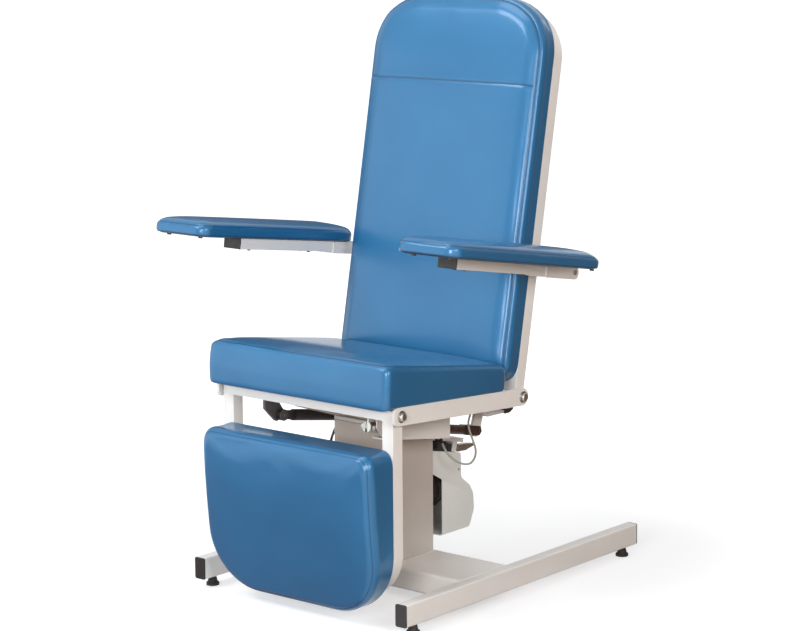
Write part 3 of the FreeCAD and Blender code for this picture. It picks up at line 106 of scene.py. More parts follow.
class Nodes:
    """A material's node tree, with short calls for the nodes this scene uses."""

    def __init__(self, name):
        self.material = bpy.data.materials.new(name)
        self.material.use_nodes = True
        self.tree = self.material.node_tree
        self.shader = self.tree.nodes["Principled BSDF"]
        self.place = self.add("ShaderNodeTexCoord").outputs["Object"]

    def add(self, kind, **settings):
        node = self.tree.nodes.new(kind)
        for key, value in settings.items():
            setattr(node, key, value)
        return node

    def link(self, source, target):
        self.tree.links.new(source, target)

    def noise(self, scale, detail=3.0, rough=0.55, stretch=None):
        source = self.place
        if stretch:
            mapping = self.add("ShaderNodeMapping")
            mapping.inputs["Scale"].default_value = stretch
            self.link(source, mapping.inputs["Vector"])
            source = mapping.outputs["Vector"]
        node = self.add("ShaderNodeTexNoise")
        node.inputs["Scale"].default_value = scale
        node.inputs["Detail"].default_value = detail
        node.inputs["Roughness"].default_value = rough
        self.link(source, node.inputs["Vector"])
        return node.outputs["Fac"]

    def cells(self, scale, feature="F1"):
        node = self.add("ShaderNodeTexVoronoi", feature=feature)
        node.inputs["Scale"].default_value = scale
        self.link(self.place, node.inputs["Vector"])
        return node.outputs["Distance"]

    def span(self, value, low, high, to_low, to_high):
        node = self.add("ShaderNodeMapRange", clamp=True)
        for key, number in (("From Min", low), ("From Max", high), ("To Min", to_low), ("To Max", to_high)):
            node.inputs[key].default_value = number
        self.link(value, node.inputs["Value"])
        return node.outputs["Result"]

    def spread(self, noise, to_low=0.0, to_high=1.0):
        """Stretches the middle of a noise, where most of its values lie, over a range."""
        return self.span(noise, 0.3, 0.7, to_low, to_high)

    def mix(self, factor, first, second):
        node = self.add("ShaderNodeMix", data_type="RGBA")
        self.link(factor, node.inputs["Factor"])
        for socket, colour in ((node.inputs["A"], first), (node.inputs["B"], second)):
            if hasattr(colour, "is_linked"):
                self.link(colour, socket)
            else:
                socket.default_value = colour
        return node.outputs["Result"]

    def math(self, operation, first, second=0.0):
        node = self.add("ShaderNodeMath", operation=operation)
        for socket, value in zip(node.inputs, (first, second)):
            if hasattr(value, "is_linked"):
                self.link(value, socket)
            else:
                socket.default_value = value
        return node.outputs["Value"]

    def edges(self, low=0.52, high=0.6):
        """0 on faces, 1 on outward edges."""
        return self.span(self.add("ShaderNodeNewGeometry").outputs["Pointiness"], low, high, 0.0, 1.0)

    def bump(self, *layers):
        """Stacks (height, distance in metres) pairs into the shader's normal."""
        normal = None
        for height, distance in layers:
            node = self.add("ShaderNodeBump")
            node.inputs["Strength"].default_value = 1.0
            node.inputs["Distance"].default_value = distance
            self.link(height, node.inputs["Height"])
            if normal is not None:
                self.link(normal, node.inputs["Normal"])
            normal = node.outputs["Normal"]
        self.link(normal, self.shader.inputs["Normal"])

    def finish(self, colour, rough, **fixed):
        """Wires the two; each keyword is the name of another socket, so coat_ior is Coat IOR."""
        self.link(colour, self.shader.inputs["Base Color"])
        self.link(rough, self.shader.inputs["Roughness"])
        for key, value in fixed.items():
            self.shader.inputs[key.replace("_", " ").title().replace("Ior", "IOR")].default_value = value
        return self.material


VINYL = (36, 106, 152)
VINYL_LOW = (32, 100, 146)
VINYL_FLECK = (22, 90, 132)
# Painted shade colour for the seam grooves and the arm pads' lower edges
VINYL_SEAM_SHADE = (14, 46, 76)
POWDER = (234, 230, 226)


def vinyl():
    """Upholstery vinyl: fine pebble grain, slow tone drift, and painted shade, darker where the seam
    attribute marks seam grooves and the arm pads' lower edges.
    """
    n = Nodes("vinyl")
    body = n.mix(n.spread(n.noise(5.0, 2.0)), linear(VINYL), linear(VINYL_LOW))
    grain = n.cells(900.0)
    fleck = n.span(grain, 0.1, 0.7, 0.0, 0.12)
    toned = n.mix(fleck, body, linear(VINYL_FLECK))
    # The seam attribute marks where shade is painted into the cover's colour: in the seam grooves and along
    # the arm pads' lower edges.
    seam = n.add("ShaderNodeAttribute", attribute_name="seam").outputs["Fac"]
    seam_shaded = n.mix(n.math("MULTIPLY", seam, 0.75), toned, linear(VINYL_SEAM_SHADE))
    smudge = n.noise(14.0, 4.0, 0.6)
    rough = n.math("ADD", n.span(smudge, 0.3, 0.75, 0.36, 0.43), n.math("MULTIPLY", seam, 0.25))
    n.bump((n.noise(38.0, 2.0), 0.00035), (grain, 0.00008), (n.noise(1400.0, 2.0), 0.00005))
    return n.finish(seam_shaded, rough, specular_ior_level=0.25, metallic=0.22, coat_weight=0.6,
                    coat_roughness=0.15, coat_ior=1.45)


def powder_coat(name, rgb, shade, rough_low=0.34, rough_high=0.44, metallic=0.0):
    """Powder paint: orange peel, slight tone drift, rubbed edges."""
    n = Nodes(name)
    body = n.mix(n.spread(n.noise(7.0, 3.0)), linear(rgb), linear(shade))
    colour = n.mix(n.math("MULTIPLY", n.edges(), 0.5), body, lighter(rgb, 16))
    rough = n.spread(n.noise(60.0, 3.0), rough_low, rough_high)
    n.bump((n.noise(420.0, 2.0), 0.00006), (n.noise(90.0, 2.0), 0.00005))
    return n.finish(colour, rough, specular_ior_level=0.5, metallic=metallic)


def moulded(name, rgb, shade, rough_low, rough_high, texture=0.00006):
    """Moulded plastic or rubber: fine spark texture, flow tone, scuffed edges."""
    n = Nodes(name)
    body = n.mix(n.spread(n.noise(11.0, 4.0)), linear(rgb), linear(shade))
    colour = n.mix(n.math("MULTIPLY", n.edges(0.53, 0.65), 0.4), body, lighter(rgb, 22))
    rough = n.spread(n.noise(80.0, 3.0), rough_low, rough_high)
    n.bump((n.noise(1500.0, 1.0), texture), (n.noise(60.0, 2.0), 0.00004))
    return n.finish(colour, rough)


def metal(name, rgb, shade, rough_low, rough_high, metallic=1.0, stretch=(1.0, 1.0, 1.0)):
    """Plated or bare steel: drawn grain along one axis, dull patches, bright edges."""
    n = Nodes(name)
    patches = n.span(n.noise(40.0, 4.0, 0.65), 0.35, 0.7, 0.0, 1.0)
    body = n.mix(patches, linear(rgb), linear(shade))
    colour = n.mix(n.math("MULTIPLY", n.edges(), 0.6), body, lighter(rgb, 25))
    drawn = n.noise(300.0, 3.0, 0.6, stretch)
    rough = n.spread(drawn, rough_low, rough_high)
    n.bump((drawn, 0.00004), (n.noise(120.0, 2.0), 0.00003))
    return n.finish(colour, rough, metallic=metallic)


def plywood():
    """Birch plywood face with long figure and fine pores."""
    n = Nodes("plywood")
    figure = n.noise(9.0, 4.0, 0.6, (6.0, 1.0, 0.7))
    pores = n.noise(240.0, 2.0, 0.6, (9.0, 1.0, 0.5))
    body = n.mix(n.spread(figure), linear((203, 170, 126)), linear((168, 130, 88)))
    colour = n.mix(n.span(pores, 0.55, 0.72, 0.0, 0.5), body, linear((120, 86, 54)))
    n.bump((pores, 0.00012), (figure, 0.00008))
    return n.finish(colour, n.spread(pores, 0.55, 0.72))


NODE_FINISH = {
    "powder": ("rail_left", "rail_right", "cross_member", "seat_carrier", "seat_bar_left",
               "seat_bar_right", "seat_cross_front", "seat_cross_rear", "back_frame", "leg_frame",
               "arm_tube_left", "arm_tube_right", "arm_bracket_left", "arm_bracket_right",
               "gas_spring_guard", "drive_bracket", "back_lever_left", "back_lever_right",
               "release_paddle"),
    "column": ("column_outer", "column_inner"),
    "abs": ("drive_cover",),
    "plastic": ("rail_end_caps", "arm_end_cap_left", "arm_end_cap_right", "column_glides",
                "paddle_grip", "motor_ring", "release_block", "arm_board_left", "arm_board_right",
                "cable_glands"),
    "rubber": ("foot_front_left", "foot_front_right", "foot_rear_left", "foot_rear_right"),
    "zinc": ("pivot_bolts", "pivot_washers", "arm_pivot_bolts", "gas_spring_rod", "lift_rod",
             "release_lever"),
    "black_steel": ("sync_link", "drive_motor", "lift_cylinder", "arm_screws_left", "arm_screws_right"),
    "brown_steel": ("gas_spring_cylinder",),
    "dark_grey": ("leg_lug",),
    "plywood": ("seat_board", "back_board", "leg_board"),
}


def make_materials():
    return {
        "vinyl": vinyl(),
        "powder": powder_coat("powder_coat", POWDER, (228, 223, 218)),
        # The column's paint is darker and warmer than the other powder coat: painted shade for its place
        # under the seat.
        "column": powder_coat("column_paint_shaded", (210, 202, 195), (202, 193, 185), 0.3, 0.4, 0.2),
        "abs": moulded("grey_abs", (236, 236, 232), (228, 228, 223), 0.38, 0.5, 0.0001),
        "plastic": moulded("black_plastic", (38, 35, 35), (28, 26, 27), 0.42, 0.6, 0.0001),
        "rubber": moulded("black_rubber", (30, 28, 28), (22, 21, 21), 0.6, 0.8, 0.00015),
        "zinc": metal("zinc_plate", (178, 175, 170), (140, 138, 134), 0.24, 0.4),
        "black_steel": metal("black_steel", (50, 44, 43), (38, 34, 34), 0.34, 0.5, 0.35,
                             (1.0, 0.15, 1.0)),
        "dark_grey": powder_coat("dark_grey_paint", (84, 81, 79), (70, 67, 66)),
        "brown_steel": metal("brown_steel", (84, 58, 50), (58, 42, 38), 0.3, 0.46, 0.4, (1.0, 0.15, 1.0)),
        "plywood": plywood(),
        "light_cable": moulded("light_cable", (176, 174, 168), (158, 156, 150), 0.36, 0.5),
        "dark_cable": moulded("dark_cable", (48, 46, 40), (36, 35, 31), 0.4, 0.55),
    }


SAME_POINT = 0.02 * MM
SOFT_EDGE = 0.7 * MM
FLAT_WITHIN = 0.5
EDGE_FROM = 32.0


def dress_node(node, material):
    """Softens a CAD node's edges and gives it its finish; the two angles are in degrees."""
    node.data.materials.clear()
    node.data.materials.append(material)
    for polygon in node.data.polygons:
        polygon.use_smooth = True
    if "custom_normal" in node.data.attributes:
        node.data.attributes.remove(node.data.attributes["custom_normal"])
    weld = node.modifiers.new("weld", "WELD")
    weld.merge_threshold = SAME_POINT
    flat = node.modifiers.new("whole_faces", "DECIMATE")
    flat.decimate_type = "DISSOLVE"
    flat.angle_limit = math.radians(FLAT_WITHIN)
    bevel = node.modifiers.new("soft_edges", "BEVEL")
    bevel.width = SOFT_EDGE
    bevel.segments = 2
    bevel.limit_method = "ANGLE"
    bevel.angle_limit = math.radians(EDGE_FROM)
    bevel.use_clamp_overlap = True
    bevel.harden_normals = True


# ---------------------------------------------------------------- cords
RELEASE_ROUTE = [(191, -47, 416), (181, -47, 397), (171, -38, 376), (164, -22, 354), (159, -4, 330),
                 (153, 14, 306), (142, 24, 283), (128, 22, 266), (113, 4, 270), (104, -16, 286),
                 (94, -28, 306), (74, -14, 320)]
POWER_ROUTE = [(-76, -132, 409), (-92, -146, 402), (-96, -168, 384), (-94, -188, 360),
               (-98, -200, 334), (-104, -196, 306), (-108, -176, 282), (-106, -146, 266),
               (-100, -112, 258), (-94, -78, 254), (-86, -44, 254), (-62, -26, 254)]


def make_cord(name, node, route, radius, material):
    """A round cord through the route's control points; radius and length are millimetres."""
    points = row(route)
    curve = bpy.data.curves.new(name, "CURVE")
    curve.dimensions = "3D"
    curve.resolution_u = 12
    curve.bevel_depth = radius * MM
    curve.bevel_resolution = 5
    curve.use_fill_caps = True
    spline = curve.splines.new("NURBS")
    spline.points.add(len(points) - 1)
    for control, place in zip(spline.points, points):
        control.co = (*place, 1.0)
    spline.order_u = 3
    spline.use_endpoint_u = True
    cord = bpy.data.objects.new(name, curve)
    bpy.context.scene.collection.objects.link(cord)
    curve.materials.append(material)
    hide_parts(node)
    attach(cord, "lift")
    tuple(points[0])


# ---------------------------------------------------------------- cushions
# Rows of the mesh beside a cross seam, how near other rows may come to them as a share of the mesh's
# step, and the step of the outline that distances are measured to
SEAM_ROWS = (-7.0, -2.5, 0.0, 2.5, 7.0)
SEAM_CLEAR = 0.4
OUTLINE_STEP = 4.0

# A point's tag is its distance from the edge seam along the cover. These lie off the cover's sides:
# the face on the board's inside, the hem's three rings, and the flat panel.
INNER_FACE = -500.0
HEM_INSIDE = -400.0
HEM_UNDER = -390.0
HEM_OUTSIDE = -300.0
PANEL = 60.0

# Shares of the panel's height, from each end, over which its rows follow the rounded corners
LOWER_BLEND = 0.22
UPPER_BLEND = 0.16


class Outline:
    """A convex four-sided outline, anticlockwise, whose edges can be inset and its corners rounded.

    A place on it is (corner, share): shares 0 to 1 run round that corner's arc, 1 to 2 along the
    edge that leaves it."""

    def __init__(self, corners, radii, inner_radii, full_inset):
        self.corners = [np.array(c, dtype=float) for c in corners]
        self.radii = radii
        self.inner_radii = inner_radii
        self.full_inset = full_inset

    def arcs(self, inset):
        """Centre, radius, first and last angle of every corner at this inset."""
        found = []
        count = len(self.corners)
        part = min(1.0, inset / self.full_inset)
        for i, corner in enumerate(self.corners):
            before = self.corners[i - 1] - corner
            after = self.corners[(i + 1) % count] - corner
            before /= np.linalg.norm(before)
            after /= np.linalg.norm(after)
            middle = (before + after) / np.linalg.norm(before + after)
            half = math.acos(np.clip(np.dot(before, after), -1, 1)) / 2
            radius = self.radii[i] + (self.inner_radii[i] - self.radii[i]) * part
            centre = corner + middle * (radius + inset) / math.sin(half)
            facing = math.atan2(-middle[1], -middle[0])
            turn = math.pi / 2 - half
            found.append((centre, radius, facing - turn, facing + turn))
        return found

    def point(self, place, arcs):
        """The (x, y) of a place, from the arcs of the wanted inset."""
        corner, share = place
        centre, radius, first, last = arcs[corner]
        if share <= 1.0:
            angle = first + (last - first) * share
            return centre + radius * np.array([math.cos(angle), math.sin(angle)])
        leaving = centre + radius * np.array([math.cos(last), math.sin(last)])
        centre, radius, first, last = arcs[(corner + 1) % len(arcs)]
        arriving = centre + radius * np.array([math.cos(first), math.sin(first)])
        return leaving + (arriving - leaving) * (share - 1.0)

    def side(self, corner, size, heights=()):
        """Places from the middle of one corner's arc to just before the middle of the next one's."""
        arcs = self.arcs(0.0)
        after = (corner + 1) % len(arcs)
        bend = [arcs[k][1] * (arcs[k][3] - arcs[k][2]) / 2 for k in (corner, after)]
        start = self.point((corner, 1.0), arcs)
        end = self.point((after, 0.0), arcs)
        places = [(corner, 0.5 + 0.5 * share) for share in spaced(0.0, 1.0, size / bend[0])[:-1]]
        length = np.linalg.norm(end - start)
        extra = []
        for height in heights:
            middle = length * (height - start[1]) / (end[1] - start[1])
            extra += [(middle + d) / length for d in SEAM_ROWS]
        places += [(corner, 1.0 + share) for share in spaced(0.0, 1.0, size / length, extra)]
        places += [(after, 0.5 * share) for share in spaced(0.0, 1.0, size / bend[1])[1:-1]]
        return places

    def loop(self):
        """The closed outline as points about OUTLINE_STEP apart."""
        arcs = self.arcs(0.0)
        places = []
        for corner in range(len(arcs)):
            places += self.side(corner, OUTLINE_STEP)
        points = [self.point(place, arcs) for place in places]
        return np.array(points + points[:1])


def spaced(start, end, size, extra=()):
    """Rising values from start to end about size apart, with the extra ones put in."""
    count = max(1, int(round((end - start) / size)))
    values = [start + (end - start) * k / count for k in range(count + 1)]
    if extra:
        low = min(extra) - SEAM_CLEAR * size
        high = max(extra) + SEAM_CLEAR * size
        values = [v for v in values if v < low or v > high] + list(extra)
    return sorted(values)


def mirror_places(places, corner, target, target_after):
    """The same places on the opposite side, walked the other way round."""
    mirrored = []
    for place_corner, share in reversed(places):
        if place_corner == corner and share > 1.0:
            mirrored.append((target, 3.0 - share))
        elif place_corner == corner:
            mirrored.append((target_after, 1.0 - share))
        else:
            mirrored.append((target, 1.0 - share))
    return mirrored


class Cushion:
    """A closed upholstered form in its own axes: u across, v up the panel, w out to the sitter."""

    def __init__(self, outline, size, row_seams=()):
        self.outline = outline
        bottom = outline.side(0, size)
        right = outline.side(1, size, row_seams)
        top = mirror_places(bottom[1:], 0, 2, 3)
        left = mirror_places(right[1:], 1, 3, 0)
        top = [(2, 0.5)] + top
        left = [(3, 0.5)] + left
        self.nu = len(bottom)
        self.nv = len(right)
        self.places = bottom + right + top + left
        self.points = []
        self.tags = []
        self.faces = []

    def add_ring(self, inset, w, tag):
        """A ring of points; tag is its distance from the edge seam along the cover."""
        arcs = self.outline.arcs(inset)
        first = len(self.points)
        for place in self.places:
            x, y = self.outline.point(place, arcs)
            self.points.append((x, y, w))
            self.tags.append(tag)
        return list(range(first, first + len(self.places)))

    def bridge(self, lower, upper):
        count = len(lower)
        for k in range(count):
            n = (k + 1) % count
            self.faces.append((lower[k], lower[n], upper[n], upper[k]))

    def fill(self, ring, tag, flip=False):
        """Fills a ring with a grid whose rows run straight across except near the two ends."""
        nu, nv = self.nu, self.nv
        grid = [[None] * (nv + 1) for _ in range(nu + 1)]
        for i in range(nu + 1):
            grid[i][0] = ring[i]
        for j in range(nv + 1):
            grid[nu][j] = ring[nu + j]
        for i in range(nu + 1):
            grid[nu - i][nv] = ring[nu + nv + i]
        for j in range(1, nv):
            grid[0][nv - j] = ring[2 * nu + nv + j]
        p = np.array(self.points)
        bottom = np.array([p[grid[i][0]] for i in range(nu + 1)])
        top = np.array([p[grid[i][nv]] for i in range(nu + 1)])
        lift = np.array([p[grid[nu][j]][1] for j in range(nv + 1)])
        lift = (lift - lift[0]) / (lift[-1] - lift[0])
        along = bottom[:, 0]
        along = (along - along[0]) / (along[-1] - along[0])
        for j in range(1, nv):
            left = p[grid[0][j]]
            right = p[grid[nu][j]]
            low = max(0.0, 1.0 - lift[j] / LOWER_BLEND) ** 2
            high = max(0.0, 1.0 - (1.0 - lift[j]) / UPPER_BLEND) ** 2
            for i in range(1, nu):
                s = along[i]
                point = (1 - s) * left + s * right
                point = point + low * (bottom[i] - (1 - s) * bottom[0] - s * bottom[-1])
                point = point + high * (top[i] - (1 - s) * top[0] - s * top[-1])
                grid[i][j] = len(self.points)
                self.points.append(tuple(point))
                self.tags.append(tag)
        for i in range(nu):
            for j in range(nv):
                face = (grid[i][j], grid[i + 1][j], grid[i + 1][j + 1], grid[i][j + 1])
                self.faces.append(face[::-1] if flip else face)


def border_distance(uv, loop):
    """Distance from each (u, v) to the outline."""
    best = np.full(len(uv), 1e9)
    a = loop[:-1]
    b = loop[1:]
    d = b - a
    length = np.maximum((d * d).sum(axis=1), 1e-9)
    for k in range(len(a)):
        t = np.clip(((uv - a[k]) @ d[k]) / length[k], 0, 1)
        gap = uv - a[k] - t[:, None] * d[k]
        best = np.minimum(best, np.hypot(gap[:, 0], gap[:, 1]))
    return best


def add_mesh(name, points, faces, material):
    mesh = bpy.data.meshes.new(name)
    mesh.from_pydata([tuple(p) for p in points], [], faces)
    mesh.update()
    piece = bpy.data.objects.new(name, mesh)
    bpy.context.scene.collection.objects.link(piece)
    mesh.materials.append(material)
    mesh.polygons.foreach_set("use_smooth", [True] * len(mesh.polygons))
    return piece


def set_attribute(mesh, name, values):
    layer = mesh.attributes.get(name) or mesh.attributes.new(name, "FLOAT", "POINT")
    layer.data.foreach_set("value", np.asarray(values, dtype=np.float32))


def get_attribute(mesh, name):
    values = np.zeros(len(mesh.vertices), dtype=np.float32)
    mesh.attributes[name].data.foreach_get("value", values)
    return values


def get_points(mesh):
    flat = np.zeros(len(mesh.vertices) * 3, dtype=np.float32)
    mesh.vertices.foreach_get("co", flat)
    return flat.reshape(-1, 3).astype(float)


def set_points(mesh, points):
    mesh.vertices.foreach_set("co", np.asarray(points, dtype=np.float32).ravel())
    mesh.update()


CLOTH_FRAMES = 20
CLOTH_DAMPING = 8


def settle(piece, weights, pressure, cap):
    """Blows the cover out with the cloth solver, keeps each point within cap, and drops the modifier."""
    group = piece.vertex_groups.new(name="held")
    for index, weight in enumerate(weights):
        if weight > 0:
            group.add([index], float(weight), "REPLACE")
    modifier = piece.modifiers.new("cloth", "CLOTH")
    cloth = modifier.settings
    cloth.quality = 6
    cloth.mass = 0.4
    cloth.tension_stiffness = 25
    cloth.compression_stiffness = 40
    cloth.shear_stiffness = 12
    cloth.bending_stiffness = 20.0
    cloth.tension_damping = CLOTH_DAMPING
    cloth.compression_damping = CLOTH_DAMPING
    cloth.shear_damping = CLOTH_DAMPING
    cloth.use_pressure = True
    cloth.uniform_pressure_force = pressure
    cloth.vertex_group_mass = "held"
    cloth.pin_stiffness = 1.0
    cloth.effector_weights.gravity = 0.0
    modifier.collision_settings.use_collision = False
    modifier.collision_settings.use_self_collision = False
    modifier.point_cache.frame_start = 1
    modifier.point_cache.frame_end = CLOTH_FRAMES
    scene = bpy.context.scene
    before = get_points(piece.data)
    for number in range(1, CLOTH_FRAMES + 1):
        scene.frame_set(number)
    graph = bpy.context.evaluated_depsgraph_get()
    result = piece.evaluated_get(graph).to_mesh()
    after = get_points(result)
    piece.evaluated_get(graph).to_mesh_clear()
    piece.modifiers.remove(modifier)
    piece.vertex_groups.remove(group)
    scene.frame_set(1)
    move = after - before
    far = np.linalg.norm(move, axis=1)
    limit = cap * MM * (1.0 - np.exp(-far / (cap * MM))) / np.maximum(far, 1e-9)
    set_points(piece.data, before + move * limit[:, None])


def subdivide(piece):
    """Subdivides the mesh once and keeps the result."""
    modifier = piece.modifiers.new("subdivide", "SUBSURF")
    modifier.levels = 1
    modifier.boundary_smooth = "ALL"
    graph = bpy.context.evaluated_depsgraph_get()
    fine = bpy.data.meshes.new_from_object(piece.evaluated_get(graph), preserve_all_data_layers=True,
                                           depsgraph=graph)
    piece.modifiers.clear()
    old = piece.data
    name = old.name
    piece.data = fine
    bpy.data.meshes.remove(old)
    fine.name = name
    fine.polygons.foreach_set("use_smooth", [True] * len(fine.polygons))


def groove(piece, distance, depth, width, lip, lip_at=6.0):
    """Presses a sewn seam in where distance is 0, with a raised roll at lip_at on each side."""
    mesh = piece.data
    points = get_points(mesh)
    flat = np.zeros(len(mesh.vertices) * 3, dtype=np.float32)
    mesh.vertex_normals.foreach_get("vector", flat)
    normals = flat.reshape(-1, 3)
    line = np.exp(-(distance / width) ** 2)
    roll = np.exp(-((np.abs(distance) - lip_at) / (0.5 * lip_at)) ** 2)
    set_points(mesh, points + normals * ((lip * roll - depth * line) * MM)[:, None])
    # Painted shade along the groove: the cover is coloured darker where the seam lies.
    paint_shade(mesh, np.exp(-(distance / (0.7 * width)) ** 2))


def paint_shade(mesh, values):
    """Paints shade into the cover's colour, as in a seam's groove, wherever values are more than it has so
    far.
    """
    set_attribute(mesh, "seam", np.maximum(get_attribute(mesh, "seam"), values))


STRAIGHT_SHARES = (0.0, 0.1, 0.35, 0.65, 0.9)
SIDE_SHARES = (0.0, 0.25, 0.5, 0.72, 0.88, 0.96)
PANEL_SHARES = (0.06, 0.16, 0.32, 0.5, 0.7, 0.88)


def edge_profile(straight, side_radius, seam_angle, panel_radius, panel_angle, bow=1.5):
    """Rings (inset, w, distance from the seam) from the board face to the front panel. The side
    runs straight, pulled in by bow half way, rounds by side_radius up to seam_angle and stops in
    the seam; the panel leaves the seam at panel_angle and rounds by panel_radius until it is flat."""
    rings = []
    seam = math.radians(seam_angle)
    arc = side_radius * seam
    for share in STRAIGHT_SHARES:
        rings.append((bow * math.sin(math.pi * share), straight * share, -(straight * (1 - share) + arc)))
    for share in SIDE_SHARES:
        a = seam * share
        rings.append((side_radius * (1 - math.cos(a)), straight + side_radius * math.sin(a),
                      -arc * (1 - share)))
    inset = side_radius * (1 - math.cos(seam))
    w = straight + side_radius * math.sin(seam)
    rings.append((inset, w, 0.0))
    start = math.radians(panel_angle)
    for share in PANEL_SHARES:
        a = start + (math.pi / 2 - start) * share
        rings.append((inset + panel_radius * (math.cos(start) - math.cos(a)),
                      w + panel_radius * (math.sin(a) - math.sin(start)), panel_radius * (a - start)))
    return rings


# Hinge lines that the cushions' own axes lean about: Y, Z and degrees, as in part.py
BACK_ORIGIN = (49.0, 437.0, 11.0)
SEAT_ORIGIN = (-378.0, 466.0, 3.885)
ARM_ORIGIN_Y = 143.4
ARM_ORIGIN_Z = 702.7
ARM_TILT = {"left": 9.9, "right": 8.0}

HEM_INSET = 4.0

# How firmly the solver holds the board's face, the seam, the sides and the panel's rim
HOLD_BOARD = 1.0
HOLD_SEAM = 0.35
HOLD_SIDE = 0.12
HOLD_RIM = 0.10
RIM_REACH = 90.0


def build_cushion(name, corners, radii, inner_radii, profile, panel_shape, to_row, size, hem, material,
                  pressure, cap, seam, row_seams=(), tuck=(3.0, -0.7)):
    """Makes one cushion: hem on the board, side rings, front panel, cloth, then the edge seam.

    size is the mesh's step and hem the hem's inset; seam is the edge seam's depth, width and lip;
    tuck is how high the inner face lies and how far the hem reaches below the board's face."""
    outline = Outline(corners, radii, inner_radii, profile[-1][0])
    shape = Cushion(outline, size, row_seams)
    inside, under = tuck
    inner = shape.add_ring(hem, inside, HEM_INSIDE)
    hem_in = shape.add_ring(hem, under, HEM_UNDER)
    hem_out = shape.add_ring(HEM_INSET, under, HEM_OUTSIDE)
    shape.fill(inner, INNER_FACE, flip=True)
    shape.bridge(inner, hem_in)
    shape.bridge(hem_in, hem_out)
    last = hem_out
    for inset, w, tag in profile:
        ring = shape.add_ring(inset, w, tag)
        shape.bridge(last, ring)
        last = ring
    shape.fill(last, PANEL)
    points = np.array(shape.points)
    tags = np.array(shape.tags)
    edge = border_distance(points[:, :2], outline.loop())
    panel = tags >= 0
    points[:, 2] = panel_shape(points, panel, np.maximum(edge - profile[-1][0], 0.0))
    piece = add_mesh(name, row(to_row(points)), shape.faces, material)
    near = np.clip(1.0 - edge / RIM_REACH, 0.0, 1.0)
    held = np.where(panel, HOLD_RIM * near, HOLD_SIDE)
    held = np.where(tags <= HEM_OUTSIDE, HOLD_BOARD, held)
    held = np.where(tags == 0.0, HOLD_SEAM, held)
    set_attribute(piece.data, "seam", np.zeros(len(points)))
    set_attribute(piece.data, "edge_mm", tags)
    set_attribute(piece.data, "row_v", points[:, 1])
    set_attribute(piece.data, "row_u", points[:, 0])
    set_attribute(piece.data, "front", panel.astype(float))
    settle(piece, held, pressure, cap)
    subdivide(piece)
    groove(piece, get_attribute(piece.data, "edge_mm"), *seam)
    return piece


CROWN_POWER = 2.2


def crowned(w, panel, inside, reach, crown):
    """Raises the panel by crown over reach from its rim."""
    share = np.clip(inside / reach, 0.0, 1.0)
    return np.where(panel, w + crown * (1 - (1 - share) ** CROWN_POWER), w)


def box_corners(half, low, high):
    """The four corners of a panel that is 2 * half wide and runs from low to high."""
    return [(-half, low), (half, low), (half, high), (-half, high)]


def back_cushion(material):
    """Square at the bottom, round at the top, with a sewn line across below the headrest."""
    half = 249.0
    bottom, top = 27.0, 893.5
    lower_corner, upper_corner = 40.0, 131.0
    headrest_seam = 693.0
    seam_end = 236.0
    seam_fade = 8.0
    least_fade = 0.02
    nowhere = 999.0
    board_face = -16.0
    profile = edge_profile(straight=27.0, side_radius=18.0, seam_angle=65.0, panel_radius=50.0,
                           panel_angle=48.0)
    rim = profile[-1][0]

    def panel_shape(points, panel, inside):
        return crowned(points[:, 2], panel, inside, reach=110.0, crown=1.0)

    def to_row(points):
        local = np.stack([points[:, 0], board_face - points[:, 2], points[:, 1]], axis=1)
        return tilted(local, *BACK_ORIGIN)

    piece = build_cushion("backrest_cushion", box_corners(half, bottom, top),
                          [lower_corner, lower_corner, upper_corner, upper_corner],
                          [30.0, 30.0, upper_corner - rim, upper_corner - rim], profile,
                          panel_shape, to_row, size=13.0, hem=46.0, material=material,
                          pressure=0.35, cap=3.5, seam=(0.9, 1.9, 0.9), row_seams=(headrest_seam,))
    mesh = piece.data
    across = np.abs(get_attribute(mesh, "row_u"))
    front = get_attribute(mesh, "front")
    fade = np.clip((seam_end - across) / seam_fade, 0.0, 1.0) * (front > 0.5)
    above = get_attribute(mesh, "row_v") - headrest_seam
    from_seam = np.where(fade > 0, above / np.maximum(fade, least_fade), nowhere)
    groove(piece, from_seam, depth=1.3, width=2.2, lip=0.25, lip_at=8.0)
    finish_cushion(piece, "back_cushion", "backrest")


def seat_cushion(material):
    """A wedge, higher in front, whose cover wraps the board's front edge."""
    half = 262.0
    front, rear = -52.0, 363.0
    front_height, rear_height = 102.0, 66.0
    crown = 9.0
    crown_sunk = 7.0
    board_face = 20.0
    wrap_drop, wrap_from, wrap_over, wrap_height = 6.5, 14.0, 8.0, 12.0
    straight, side_radius, seam_angle, panel_radius, panel_angle = 70.0, 15.0, 60.0, 14.0, 45.0
    profile = edge_profile(straight, side_radius, seam_angle, panel_radius, panel_angle, bow=-1.5)
    flat = straight + side_radius * math.sin(math.radians(seam_angle))
    flat += panel_radius * (1 - math.sin(math.radians(panel_angle)))

    def panel_shape(points, panel, inside):
        share = np.clip((points[:, 1] - front) / (rear - front), 0, 1)
        height = front_height + (rear_height - front_height) * share - crown_sunk
        w = np.where(points[:, 2] > 0, points[:, 2] * height / flat, points[:, 2])
        return crowned(w, panel, inside, reach=120.0, crown=crown)

    def to_row(points):
        wrap = np.clip((front + wrap_from - points[:, 1]) / wrap_over, 0, 1)
        drop = wrap_drop * wrap * np.clip(1 - points[:, 2] / wrap_height, 0, 1)
        local = np.stack([points[:, 0], points[:, 1], board_face + points[:, 2] - drop], axis=1)
        return tilted(local, *SEAT_ORIGIN)

    piece = build_cushion("seat_cushion_pad", box_corners(half, front, rear), [13.0] * 4, [30.0] * 4,
                          profile, panel_shape, to_row, size=13.0, hem=44.0, material=material,
                          pressure=1.5, cap=5.0, seam=(0.35, 2.0, 0.0))
    finish_cushion(piece, "seat_cushion", "lift")


